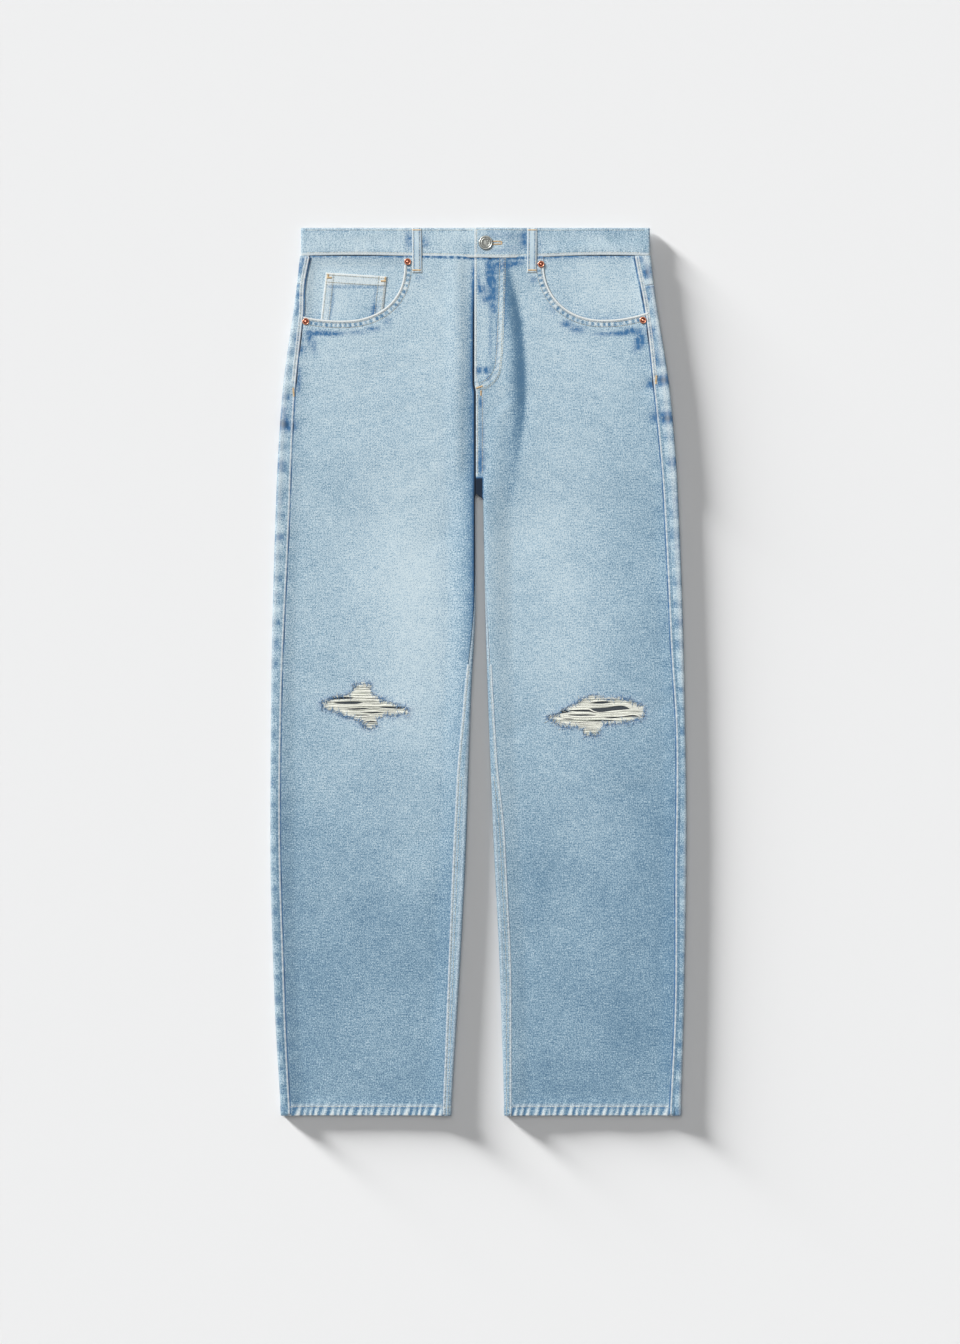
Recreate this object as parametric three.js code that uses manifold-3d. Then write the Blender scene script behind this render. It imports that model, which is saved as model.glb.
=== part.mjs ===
// A pair of washed five-pocket jeans with ripped knees, laid flat on its back.
// Millimetres. The garment lies on z = 0, its waist towards +Y and its front facing +Z.
// "left" is the -X side and "right" is the +X side as seen from above.
import * as THREE from "three";
import * as BufferGeometryUtils from "three/addons/utils/BufferGeometryUtils.js";
import Module from "manifold-3d";

const wasm = await Module();
wasm.setup();

// ---------------------------------------------------------------- driving dimensions

const GAP = 0.3;                 // clearance between two pieces of cloth
const DENIM = 1.2;               // thickness of one layer of denim
const HEM_THICKNESS = 2.2;       // the hem is turned twice
const HEM_DEPTH = 11;
const BAND_THICKNESS = 2.6;      // waistband, folded cloth with its interlining
const FOLD_RADIUS = 3.1;         // mid-surface radius where the legs fold round at their edges
const CROTCH_FOLD_RADIUS = 4.0;  // the inner thigh rolls more softly

const HEM_Y = -532.8;
const CROTCH_Y = 206;
const BAND_LOW_Y = 499;
const BAND_TOP_Y = 532.2;
const SEAT_LIFT = 1.4;           // the seat lies on its back pockets and belt loops
const LEG_REST = 2.4;            // height of the front layer on the legs
const SEAT_REST = 6.5;           // height of the front layer over pockets and fly

const FLY_EDGE_X = -4.8;         // free edge of the fly and of the waistband's upper end
const YOKE_CENTRE_Y = 430;
const YOKE_SIDE_Y = 465;
const YOKE_HALF_WIDTH = 215;     // where the yoke seam meets the side seam
const ABOVE_SCOOP_Y = 520;       // the pocket cutting tool reaches past the waist seam
const UNDERLAP_Z = 3.5;
const ZIP_Z = 5.6;
const ZIP_THICKNESS = 1.6;
const BACK_POCKET = { x: 116, y: 345, halfTop: 76, halfLow: 66, top: 78, low: -62, point: -82 };

const BUTTON = { x: 8.6, y: 513.8, radius: 8.5, shank: 2.7 };
const RIVET_RADIUS = 4.1;
const LOOP = { width: 11.5, thickness: 1.4, low: 478.5, high: 531.4 };

// Edges are given as [y, distance from the centre line], from the hem up to the waist.
const SIDES = {
  left: {
    sign: -1,
    outer: [[-532.8, 237], [-394, 245], [-200, 250], [-34, 249], [206, 243], [326, 236],
            [464, 218], [532, 211]],
    inner: [[-532.8, 33], [-334, 21], [-214, 15], [-34, 9], [86, 3.6], [206, 4.2]],
    sideSeamInset: [[-532.8, 10.5], [-334, 12.2], [-130, 11.2], [-34, 12], [206, 16.2],
                    [326, 14.6], [423, 12], [464, 8.5], [499, 11.5]],
    inseam: [[-532.8, 9.6], [-334, 13.8], [-226, 15], [-130, 13.5], [-34, 8.4], [120, 1.5],
             [206, -1.2]],
    centreEdge: [[214, 3.35], [334, 3.35], [346, 0], [499, 0]],
    centreHeight: [[214, 2.7], [238, 3.9], [334, 5.0], [499, 5.0]],
    valley: [[214, 0, 20], [334, 2, 20], [346, 5, 18], [499, 5, 18]],
    roll: 1.4,
    scoop: { centre: 165, halfWidth: 76.1, high: 487, depth: 66.4, power: 2.25, rise: 3.8,
             run: 40 },
    facingDrop: 3.0,
    loopX: -74.2,
    rivets: [[84.9, 491.3], [207.2, 419.6]],
  },
  right: {
    sign: 1,
    outer: [[-532.8, 243], [-394, 247.2], [-180, 250], [-34, 247.8], [206, 240], [326, 231],
            [464, 210.6], [532, 203.4]],
    inner: [[-532.8, 31.2], [-334, 24.6], [-214, 18.6], [-34, 11.4], [86, 7.8], [206, 5.4]],
    sideSeamInset: [[-532.8, 13], [-394, 11], [-226, 13], [-76, 11], [38, 15], [206, 17],
                    [326, 18.5], [437, 14.5], [499, 19]],
    inseam: [[-532.8, 7.8], [-454, 10.2], [-334, 13.2], [-202, 13.2], [-106, 7.8], [60, 4],
             [206, -1.2]],
    centreEdge: [[214, -3.05], [334, -3.05], [346, FLY_EDGE_X], [499, FLY_EDGE_X]],
    centreHeight: [[214, 3.3], [238, 4.4], [334, 7.2], [346, 8.0], [499, 8.2]],
    valley: [[214, 0, 18], [300, 4, 20], [346, 36, 26], [499, 34, 26]],
    roll: 0.8,
    scoop: { centre: 150, halfWidth: 72, high: 490, depth: 68.3, power: 2.15, rise: 5.9,
             run: 43.3 },
    facingDrop: 1.5,
    loopX: 64.4,
    rivets: [[75, 488.4], [197.2, 421.2]],
  },
};

// Outline of each ripped hole and the slits between the bunches of bared threads inside it.
const RIPS = {
  left: {
    outline: [[-189.8, -37], [-170, -29], [-154.6, -27], [-145, -13.5], [-131.6, -14.2],
              [-126.6, -28.1], [-99.7, -39], [-84.8, -48.5], [-100, -55.2], [-116, -54.5],
              [-123, -67.5], [-138.6, -68.4], [-150, -59], [-169.4, -49.9]],
    slits: [[-162, -32.4, 11, 1.3, 2], [-158, -40, 15, 1.6, -6], [-104, -45, 11, 1.7, -5]],
  },
  right: {
    outline: [[81.1, -54.5], [96, -48.6], [119.6, -35.8], [136, -28], [153, -32.3],
              [177.5, -31.4], [195.7, -41], [200.5, -55], [185, -61.4], [164, -65],
              [147.5, -66], [143, -77.5], [126.1, -77.8], [118, -70], [97.2, -65.8]],
    slits: [[101, -50.5, 7, 1.8, 0], [131, -47, 20, 1.8, -3], [165, -44, 11, 3.2, 18],
            [147, -37, 6, 1.2, 0]],
  },
};

// Rows across which every long panel is built, closer together where the shape changes.
const LEG_ROWS = [-532.8, -522, -520.8, -490, -430, -370, -310, -250, -190, -130, -80, -34, 26, 86,
                  130, 170, 195, CROTCH_Y];
const SEAT_ROWS = [214, 226, 238, 270, 310, 334, 346, 400];
const FRONT_TOP_ROWS = [440, 470, BAND_LOW_Y - GAP];

// ---------------------------------------------------------------- small tools

function smooth(t) {
  const c = Math.min(Math.max(t, 0), 1);
  return c * c * (3 - 2 * c);
}

// A smooth curve y -> value through rows of [y, value, ...], flat beyond its ends.
function through(rows, y, column = 1) {
  const last = rows.length - 1;
  if (y <= rows[0][0]) return rows[0][column];
  if (y >= rows[last][0]) return rows[last][column];
  const i = rows.findIndex((row) => row[0] > y) - 1;
  const slope = (a, b) => (rows[b][column] - rows[a][column]) / (rows[b][0] - rows[a][0]);
  const middle = slope(i, i + 1);
  const before = i > 0 ? slope(i - 1, i) : middle;
  const after = i + 1 < last ? slope(i + 1, i + 2) : middle;
  const tangent = (a, b) => (a * b <= 0 ? 0 : (2 * a * b) / (a + b));
  const span = rows[i + 1][0] - rows[i][0];
  const t = (y - rows[i][0]) / span;
  const m0 = tangent(before, middle) * span;
  const m1 = tangent(middle, after) * span;
  const t2 = t * t;
  const t3 = t2 * t;
  return (2 * t3 - 3 * t2 + 1) * rows[i][column] + (t3 - 2 * t2 + t) * m0
    + (3 * t2 - 2 * t3) * rows[i + 1][column] + (t3 - t2) * m1;
}

function signedVolume(vertices, triangles) {
  const a = new THREE.Vector3();
  const b = new THREE.Vector3();
  const c = new THREE.Vector3();
  let volume = 0;
  for (const [i, j, k] of triangles) {
    a.fromArray(vertices[i]);
    b.fromArray(vertices[j]);
    c.fromArray(vertices[k]);
    volume += a.dot(b.cross(c)) / 6;
  }
  return volume;
}

// Closes two matching grids of points (the cloth's upper and lower faces) into one solid.
function wallBetween(upper, lower) {
  const rows = upper.length;
  const columns = upper[0].length;
  const vertices = [...upper.flat(), ...lower.flat()];
  const top = (i, j) => i * columns + j;
  const low = (i, j) => (rows + i) * columns + j;
  const triangles = [];
  const quad = (a, b, c, d) => triangles.push([a, b, c], [a, c, d]);
  for (let i = 0; i + 1 < rows; i += 1) {
    for (let j = 0; j + 1 < columns; j += 1) {
      quad(top(i, j), top(i, j + 1), top(i + 1, j + 1), top(i + 1, j));
      quad(low(i, j), low(i + 1, j), low(i + 1, j + 1), low(i, j + 1));
    }
    quad(top(i, 0), top(i + 1, 0), low(i + 1, 0), low(i, 0));
    quad(top(i, columns - 1), low(i, columns - 1), low(i + 1, columns - 1), top(i + 1, columns - 1));
  }
  for (let j = 0; j + 1 < columns; j += 1) {
    quad(top(0, j), low(0, j), low(0, j + 1), top(0, j + 1));
    quad(top(rows - 1, j), top(rows - 1, j + 1), low(rows - 1, j + 1), low(rows - 1, j));
  }
  const turned = signedVolume(vertices, triangles) < 0;
  const geometry = new THREE.BufferGeometry();
  geometry.setAttribute("position", new THREE.Float32BufferAttribute(vertices.flat(), 3));
  geometry.setIndex(triangles.flatMap(([a, b, c]) => (turned ? [a, c, b] : [a, b, c])));
  return geometry;
}

function toSolid(geometry) {
  const bare = geometry.clone();
  bare.deleteAttribute("normal");
  bare.deleteAttribute("uv");
  const merged = BufferGeometryUtils.mergeVertices(bare, 1e-3);
  return new wasm.Manifold(new wasm.Mesh({
    numProp: 3,
    vertProperties: new Float32Array(merged.attributes.position.array),
    triVerts: new Uint32Array(merged.index.array),
  }));
}

function toGeometry(solid) {
  const mesh = solid.getMesh();
  const geometry = new THREE.BufferGeometry();
  geometry.setAttribute("position", new THREE.BufferAttribute(mesh.vertProperties, 3));
  geometry.setIndex(new THREE.BufferAttribute(mesh.triVerts, 1));
  return geometry;
}

function cut(geometry, ...tools) {
  return toGeometry(tools.reduce((solid, tool) => solid.subtract(toSolid(tool)), toSolid(geometry)));
}

function prism(shape, low, high) {
  const geometry = new THREE.ExtrudeGeometry(shape, {
    depth: high - low, bevelEnabled: false, curveSegments: 8,
  });
  return geometry.translate(0, 0, low);
}

function shapeOf(points) {
  return new THREE.Shape(points.map(([x, y]) => new THREE.Vector2(x, y)));
}

const garment = new THREE.Group();

function addPiece(name, geometry, { color, roughness, metalness = 0 }) {
  const mesh = new THREE.Mesh(geometry, new THREE.MeshStandardMaterial({
    color, roughness, metalness,
  }));
  mesh.name = name;
  garment.add(mesh);
}

const DENIM_LOOK = { color: 0xa4c0d0, roughness: 0.9 };
const INNER_DENIM_LOOK = { color: 0x8fadc0, roughness: 0.92 };

// ---------------------------------------------------------------- the flattened legs

// Sections are worked out in leg coordinates: X is the distance from the centre line towards the
// outer edge, so both legs share the same formulas and only their sizes differ.

function clothThickness(y) {
  return y <= HEM_Y + HEM_DEPTH ? HEM_THICKNESS : DENIM;
}

function bottomHeight(y) {
  return clothThickness(y) / 2 + SEAT_LIFT * smooth((y - CROTCH_Y) / 32);
}

function restHeight(y) {
  const leg = y <= HEM_Y + HEM_DEPTH ? LEG_REST + 1.5 : LEG_REST;
  return leg + (SEAT_REST - leg) * smooth((y - 150) / 130);
}

function innerFoldRadius(y) {
  return FOLD_RADIUS + (CROTCH_FOLD_RADIUS - FOLD_RADIUS) * smooth((y + 40) / 200);
}

// Height of the front layer: folded up at the edges, resting on the back layer between them,
// and over the seat falling into the valley beside the fly.
function frontHeight(side, y, X) {
  const rest = restHeight(y);
  const outerReach = through(side.outer, y) - clothThickness(y) / 2 - FOLD_RADIUS - X;
  const outerTop = bottomHeight(y) + 2 * FOLD_RADIUS;
  let height = rest + (outerTop - rest) * (1 - smooth(outerReach / 28));
  if (y <= CROTCH_Y) {
    const radius = innerFoldRadius(y);
    const innerReach = X - through(side.inner, y) - clothThickness(y) / 2 - radius;
    const innerTop = bottomHeight(y) + 2 * radius;
    height += (innerTop - rest) * (1 - smooth(innerReach / (24 + radius * 2)));
    return height;
  }
  const reach = X - through(side.centreEdge, y);
  const edge = through(side.centreHeight, y);
  const start = through(side.valley, y, 1);
  const width = through(side.valley, y, 2);
  height += side.roll * Math.sin(Math.PI * smooth((reach - start) / 46)) ** 2;
  return edge + (height - edge) * smooth((reach - start) / width);
}

// Walks round the outer edge: s = 0 is the outermost point, positive s climbs onto the top.
function outerWalk(side, y, s) {
  const quarter = FOLD_RADIUS * Math.PI / 2;
  const centreX = through(side.outer, y) - clothThickness(y) / 2 - FOLD_RADIUS;
  const centreZ = bottomHeight(y) + FOLD_RADIUS;
  if (s > quarter) {
    const X = centreX - (s - quarter);
    return [X, frontHeight(side, y, X)];
  }
  if (s < -quarter) return [centreX + s + quarter, bottomHeight(y)];
  const angle = s / FOLD_RADIUS;
  return [centreX + FOLD_RADIUS * Math.cos(angle), centreZ + FOLD_RADIUS * Math.sin(angle)];
}

// Walks round the inner thigh: s = 0 is the innermost point, positive s climbs onto the top.
function innerWalk(side, y, s) {
  const radius = innerFoldRadius(y);
  const quarter = radius * Math.PI / 2;
  const centreX = through(side.inner, y) + clothThickness(y) / 2 + radius;
  if (s > quarter) {
    const X = centreX + s - quarter;
    return [X, frontHeight(side, y, X)];
  }
  if (s < -quarter) return [centreX - s - quarter, bottomHeight(y)];
  const angle = s / radius;
  return [centreX - radius * Math.cos(angle), bottomHeight(y) + radius + radius * Math.sin(angle)];
}

function sideSeamWalk(side, y) {
  const inset = through(side.sideSeamInset, y);
  return FOLD_RADIUS * Math.PI / 2 + inset - clothThickness(y) / 2 - FOLD_RADIUS;
}

// Gives the two faces of the cloth at one place of a walk; facing is +1 where the walk climbs
// round the outer edge and -1 where it climbs round the inner one.
function faces(side, y, walk, s, facing) {
  const step = 0.02;
  const [x0, z0] = walk(s - step);
  const [x1, z1] = walk(s + step);
  const [X, z] = walk(s);
  const length = Math.hypot(x1 - x0, z1 - z0);
  const normalX = facing * (z1 - z0) / length;
  const normalZ = -facing * (x1 - x0) / length;
  const half = clothThickness(y) / 2;
  return {
    upper: [side.sign * (X + normalX * half), y, z + normalZ * half],
    lower: [side.sign * (X - normalX * half), y, z - normalZ * half],
  };
}

function panel(rows) {
  return wallBetween(rows.map((row) => row.map((p) => p.upper)),
    rows.map((row) => row.map((p) => p.lower)));
}

// ---------------------------------------------------------------- front panels

function frontRow(side, y) {
  const onTop = (X) => [X, frontHeight(side, y, X)];
  const seamX = through(side.outer, y) - through(side.sideSeamInset, y) - GAP / 2;
  const belowCrotch = y <= CROTCH_Y;
  const endX = through(side.centreEdge, y);
  const inseamStart = through(side.inseam, y) + GAP / 2;
  const innerEnd = (reach) => (belowCrotch
    ? innerWalk(side, y, inseamStart + reach)
    : onTop(endX + reach));
  const innerReaches = [38, 25, 15, 8.8, 5.2, 2.4, 0];
  const joinX = innerEnd(innerReaches[0])[0];
  const row = [0, 6, 15, 28].map((inset) => faces(side, y, onTop, seamX - inset, -1));
  for (const share of [0.25, 0.5, 0.75]) {
    row.push(faces(side, y, onTop, seamX - 28 + (joinX - seamX + 28) * share, -1));
  }
  return row.concat(innerReaches.map((reach) => faces(side, y, innerEnd, reach, -1)));
}

function scoopEdge(scoop) {
  const points = [];
  for (let i = 0; i <= 12; i += 1) {
    const angle = (i / 12) * Math.PI / 2;
    const across = scoop.halfWidth * Math.cos(angle) ** (2 / scoop.power);
    const down = scoop.depth * Math.sin(angle) ** (2 / scoop.power);
    points.push([scoop.centre - across, scoop.high - down]);
  }
  for (const run of [20, scoop.run, scoop.run * 1.7]) {
    const y = scoop.high - scoop.depth + scoop.rise * (run / scoop.run) ** 2;
    points.push([scoop.centre + run, y]);
  }
  return points;
}

// Everything above the curved pocket opening, as a cutting tool.
function scoopTool(side) {
  const edge = scoopEdge(side.scoop);
  const far = edge[edge.length - 1][0];
  const outline = [[edge[0][0], ABOVE_SCOOP_Y], ...edge, [far, ABOVE_SCOOP_Y]];
  return prism(shapeOf(outline.map(([X, y]) => [side.sign * X, y])), 0, 20);
}

function smoothOutline(points, inset = 0) {
  const curve = new THREE.CatmullRomCurve3(
    points.map(([x, y]) => new THREE.Vector3(x, y, 0)), true, "centripetal");
  const ring = curve.getPoints(points.length * 2).slice(0, -1);
  const area = THREE.ShapeUtils.area(ring);
  return ring.map((point, i) => {
    const next = ring[(i + 1) % ring.length];
    const last = ring[(i + ring.length - 1) % ring.length];
    const along = next.clone().sub(last).normalize().multiplyScalar(Math.sign(area) * inset);
    return [point.x - along.y, point.y + along.x];
  });
}

function frontPanel(side, rip) {
  const rows = [...LEG_ROWS, ...SEAT_ROWS, ...FRONT_TOP_ROWS].map((y) => frontRow(side, y));
  return cut(panel(rows), scoopTool(side), prism(shapeOf(smoothOutline(rip.outline)), -1, 12));
}

// ---------------------------------------------------------------- bared threads in the rips

function slit([x, y, halfLength, halfWidth, slant]) {
  const path = new THREE.Path();
  const count = 12;
  for (let i = 0; i < count; i += 1) {
    const angle = (i / count) * Math.PI * 2;
    const along = halfLength * Math.cos(angle);
    const lean = Math.tan(THREE.MathUtils.degToRad(slant)) * along;
    const point = [x + along, y + lean + halfWidth * Math.sin(angle)];
    if (i === 0) path.moveTo(...point);
    else path.lineTo(...point);
  }
  return path;
}

function ripThreads(rip) {
  const shape = shapeOf(smoothOutline(rip.outline, GAP));
  shape.holes = rip.slits.map(slit);
  return prism(shape, LEG_REST - 0.4, LEG_REST + 0.4);
}

// ---------------------------------------------------------------- back panels and yoke

// One row of the back cloth: from the side seam on top, round the outer edge, under the leg and
// (below the crotch) round the inner thigh to the inseam. yAt lets the row follow a slanted seam.
function backRow(side, yAt) {
  const quarter = FOLD_RADIUS * Math.PI / 2;
  const row = [];
  const outer = (share) => {
    let y = yAt(through(side.outer, YOKE_SIDE_Y));
    for (let pass = 0; pass < 3; pass += 1) y = yAt(outerWalk(side, y, share(y))[0]);
    row.push(faces(side, y, (s) => outerWalk(side, y, s), share(y), 1));
  };
  const seam = (y) => sideSeamWalk(side, y) - GAP / 2;
  outer(seam);
  outer((y) => (seam(y) + quarter) / 2);
  for (const share of [1, 0.67, 0.33, 0, -0.33, -0.67, -1]) outer(() => share * quarter);
  const lastOuter = row[row.length - 1].upper[0] * side.sign;
  const startY = yAt(0);
  const belowCrotch = startY <= CROTCH_Y;
  const radius = innerFoldRadius(startY);
  const innerQuarter = radius * Math.PI / 2;
  const firstInner = through(side.inner, startY) + clothThickness(startY) / 2 + radius;
  for (const share of [0.3, 0.6, 0.85]) {
    const X = lastOuter + (firstInner - lastOuter) * share;
    const y = yAt(X);
    row.push(faces(side, y, (s) => [s, bottomHeight(y)], X, 1));
  }
  const inseamEnd = through(side.inseam, startY) - GAP / 2;
  for (const share of [0, 0.2, 0.4, 0.6, 0.8, 1]) {
    if (belowCrotch) {
      const s = -innerQuarter + (inseamEnd + innerQuarter) * share;
      row.push(faces(side, startY, (t) => innerWalk(side, startY, t), s, -1));
    } else {
      const X = firstInner + (GAP / 2 - firstInner) * share;
      const y = yAt(X);
      row.push(faces(side, y, (s) => [s, bottomHeight(y)], X, 1));
    }
  }
  return row;
}

function yokeSeam(X) {
  return YOKE_CENTRE_Y + (YOKE_SIDE_Y - YOKE_CENTRE_Y) * Math.min(X / YOKE_HALF_WIDTH, 1);
}

function backPanel(side) {
  const rows = [...LEG_ROWS, ...SEAT_ROWS].map((y) => backRow(side, () => y));
  const straight = SEAT_ROWS[SEAT_ROWS.length - 1];
  const nearSeam = 0.63;         // one row between, so that the fold stays round
  for (const share of [nearSeam, 1]) {
    rows.push(backRow(side, (X) => straight + (yokeSeam(X) - GAP / 2 - straight) * share));
  }
  return panel(rows);
}

function yoke(side) {
  const top = BAND_LOW_Y - GAP;
  const rows = [0, 0.5, 1].map((share) => backRow(side, (X) => {
    const low = yokeSeam(X) + GAP / 2;
    return low + (top - low) * share;
  }));
  return panel(rows);
}

// ---------------------------------------------------------------- patches lying on a layer

// A four-cornered patch between two edges, its faces at the given height above the floor.
function patch(corners, heightAt, thickness, across = 6, along = 5) {
  const upper = [];
  const lower = [];
  for (let i = 0; i <= along; i += 1) {
    const low = new THREE.Vector2(...corners[0]).lerp(new THREE.Vector2(...corners[3]), i / along);
    const high = new THREE.Vector2(...corners[1]).lerp(new THREE.Vector2(...corners[2]), i / along);
    const points = [];
    for (let j = 0; j <= across; j += 1) points.push(low.clone().lerp(high, j / across));
    upper.push(points.map((p) => [p.x, p.y, heightAt(p.x, p.y) + thickness / 2]));
    lower.push(points.map((p) => [p.x, p.y, heightAt(p.x, p.y) - thickness / 2]));
  }
  return wallBetween(upper, lower);
}

// The facing that closes the pocket behind the scooped opening, from the side seam inwards.
function hipFacing(side) {
  const { scoop, sign } = side;
  const inner = scoop.centre - scoop.halfWidth - 9;
  const seamAt = (y) => through(side.outer, y) - through(side.sideSeamInset, y) - GAP;
  const low = scoop.high - scoop.depth - 22;
  const upper = [];
  const lower = [];
  for (let i = 0; i <= 6; i += 1) {
    const y = low + (BAND_LOW_Y - GAP - low) * (i / 6);
    const points = [];
    for (const share of [0, 0.07, 0.16, 0.3, 0.55, 0.8, 1]) {
      const X = seamAt(y) + (inner - seamAt(y)) * share;
      points.push([sign * X, y, frontHeight(side, y, X) - side.facingDrop]);
    }
    upper.push(points.map(([x, yy, z]) => [x, yy, z + DENIM / 2]));
    lower.push(points.map(([x, yy, z]) => [x, yy, z - DENIM / 2]));
  }
  return wallBetween(upper, lower);
}

function coinPocket() {
  const side = SIDES.left;
  const corners = [[-183.1, 478.8], [-109.9, 474.2], [-115.5, 424], [-190.5, 412]];
  return patch(corners, (x, y) => frontHeight(side, y, -x) - side.facingDrop + DENIM + GAP, DENIM);
}

function flyUnderlap() {
  const corners = [[-9, BAND_LOW_Y - GAP], [30, BAND_LOW_Y - GAP], [26, 348], [-9, 348]];
  return patch(corners, () => UNDERLAP_Z, DENIM, 3, 4);
}

function flyZip() {
  const corners = [[0.6, 492], [25, 492], [25, 352], [0.6, 352]];
  return patch(corners, () => ZIP_Z, ZIP_THICKNESS, 2, 3);
}

// Five-cornered patch pocket lying under the seat.
function backPocket(sign) {
  const { x, y, halfTop, halfLow, top, low, point } = BACK_POCKET;
  const tilt = Math.atan((YOKE_SIDE_Y - YOKE_CENTRE_Y) / YOKE_HALF_WIDTH) * sign;
  const shape = shapeOf([[-halfTop, top], [halfTop, top], [halfLow, low], [0, point],
                         [-halfLow, low]]);
  const geometry = prism(shape, 0, SEAT_LIFT - GAP);
  return geometry.rotateZ(tilt).translate(sign * x, y, 0);
}

// ---------------------------------------------------------------- waistband and belt loops

const BAND_BACK_Z = SEAT_LIFT + BAND_THICKNESS / 2;
const BAND_FRONT_Z = BAND_BACK_Z + BAND_THICKNESS + 0.7;
const BAND_UNDER_Z = BAND_BACK_Z + BAND_THICKNESS + GAP;
const BAND_OVER_Z = BAND_UNDER_Z + BAND_THICKNESS + GAP;

// The band's course seen from its edge: under end, left front, back, right front, upper end.
function bandCourse() {
  const radius = (BAND_FRONT_Z - BAND_BACK_Z) / 2;
  const leftX = -213 + BAND_THICKNESS / 2 + radius;
  const rightX = 205.8 - BAND_THICKNESS / 2 - radius;
  const course = [[28, BAND_UNDER_Z], [-6, BAND_UNDER_Z], [-30, BAND_FRONT_Z], [-120, BAND_FRONT_Z]];
  for (let i = 0; i <= 6; i += 1) {
    const angle = Math.PI / 2 + (i / 6) * Math.PI;
    course.push([leftX + radius * Math.cos(angle),
      BAND_BACK_Z + radius + radius * Math.sin(angle)]);
  }
  course.push([-100, BAND_BACK_Z], [0, BAND_BACK_Z], [100, BAND_BACK_Z]);
  for (let i = 0; i <= 6; i += 1) {
    const angle = -Math.PI / 2 + (i / 6) * Math.PI;
    course.push([rightX + radius * Math.cos(angle),
      BAND_BACK_Z + radius + radius * Math.sin(angle)]);
  }
  course.push([110, BAND_FRONT_Z], [56, BAND_FRONT_Z], [32, BAND_OVER_Z], [FLY_EDGE_X, BAND_OVER_Z]);
  return course;
}

function strip(course, halfThickness, place) {
  const upper = [];
  const lower = [];
  course.forEach(([a, b], i) => {
    const before = course[Math.max(i - 1, 0)];
    const after = course[Math.min(i + 1, course.length - 1)];
    const inward = new THREE.Vector2(a - before[0], b - before[1]).normalize();
    const outward = new THREE.Vector2(after[0] - a, after[1] - b).normalize();
    const along = inward.add(outward).normalize();
    upper.push(place(a - along.y * halfThickness, b + along.x * halfThickness));
    lower.push(place(a + along.y * halfThickness, b - along.x * halfThickness));
  });
  return wallBetween(upper, lower);
}

function buttonholeTool() {
  const shape = new THREE.Shape();
  const eyelet = BUTTON.shank + 0.5;
  const halfSlot = 0.9;
  const start = Math.asin(halfSlot / eyelet);
  shape.absarc(BUTTON.x, BUTTON.y, eyelet, start, Math.PI * 2 - start, false);
  shape.lineTo(27, BUTTON.y - halfSlot);
  shape.lineTo(27, BUTTON.y + halfSlot);
  return prism(shape, BAND_OVER_Z - 1.5, BAND_OVER_Z + 3);
}

function waistband() {
  const place = (x, z) => [[x, BAND_LOW_Y, z], [x, BAND_TOP_Y, z]];
  return cut(strip(bandCourse(), BAND_THICKNESS / 2, place), buttonholeTool());
}

// A front loop bridges the waistband; its ends lie on the panel below and on the band's top edge.
function frontLoop(side) {
  const bandTop = BAND_FRONT_Z + BAND_THICKNESS / 2 + GAP + LOOP.thickness / 2;
  const course = [[LOOP.low, bandTop], [LOOP.low + 8, bandTop], [BAND_LOW_Y + 4, bandTop + 0.9],
                  [BAND_TOP_Y - 12, bandTop + 0.9], [LOOP.high, bandTop]];
  const [low, high] = [side.loopX - LOOP.width / 2, side.loopX + LOOP.width / 2];
  return strip(course, LOOP.thickness / 2, (y, z) => [[low, y, z], [high, y, z]]);
}

function backLoop(centreX) {
  const thickness = SEAT_LIFT - GAP;
  const corners = [[centreX - LOOP.width / 2, LOOP.high], [centreX + LOOP.width / 2, LOOP.high],
                   [centreX + LOOP.width / 2, LOOP.low], [centreX - LOOP.width / 2, LOOP.low]];
  return patch(corners, () => thickness / 2, thickness, 1, 1);
}

// ---------------------------------------------------------------- metal

function rivet(side, [X, y]) {
  let highest = 0;
  for (let i = 0; i < 12; i += 1) {
    const angle = (i / 12) * Math.PI * 2;
    const rimX = X + RIVET_RADIUS * Math.cos(angle);
    highest = Math.max(highest, frontHeight(side, y + RIVET_RADIUS * Math.sin(angle), rimX));
  }
  const profile = [[0, 0], [RIVET_RADIUS, 0], [RIVET_RADIUS, 0.5], [RIVET_RADIUS * 0.8, 1.0],
                   [RIVET_RADIUS * 0.45, 1.1], [RIVET_RADIUS * 0.3, 1.5], [0, 1.6]];
  const geometry = new THREE.LatheGeometry(profile.map((p) => new THREE.Vector2(...p)), 16);
  const base = highest + DENIM / 2 + GAP;
  return geometry.rotateX(Math.PI / 2).translate(side.sign * X, y, base);
}

// The shank stands on the under end of the band and passes up through the buttonhole.
function button() {
  const foot = BAND_UNDER_Z + BAND_THICKNESS / 2 + GAP;
  const collar = BAND_OVER_Z + BAND_THICKNESS / 2 + GAP - foot;
  const { radius, shank } = BUTTON;
  const profile = [[0, 0], [shank, 0], [shank, collar], [radius * 0.88, collar],
                   [radius, collar + 0.8], [radius * 0.96, collar + 1.8], [radius * 0.82, collar + 2.5],
                   [radius * 0.7, collar + 2.3], [radius * 0.6, collar + 2.0], [0, collar + 2.2]];
  const geometry = new THREE.LatheGeometry(profile.map((p) => new THREE.Vector2(...p)), 28);
  return geometry.rotateX(Math.PI / 2).translate(BUTTON.x, BUTTON.y, foot);
}

// ---------------------------------------------------------------- the whole garment

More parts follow.
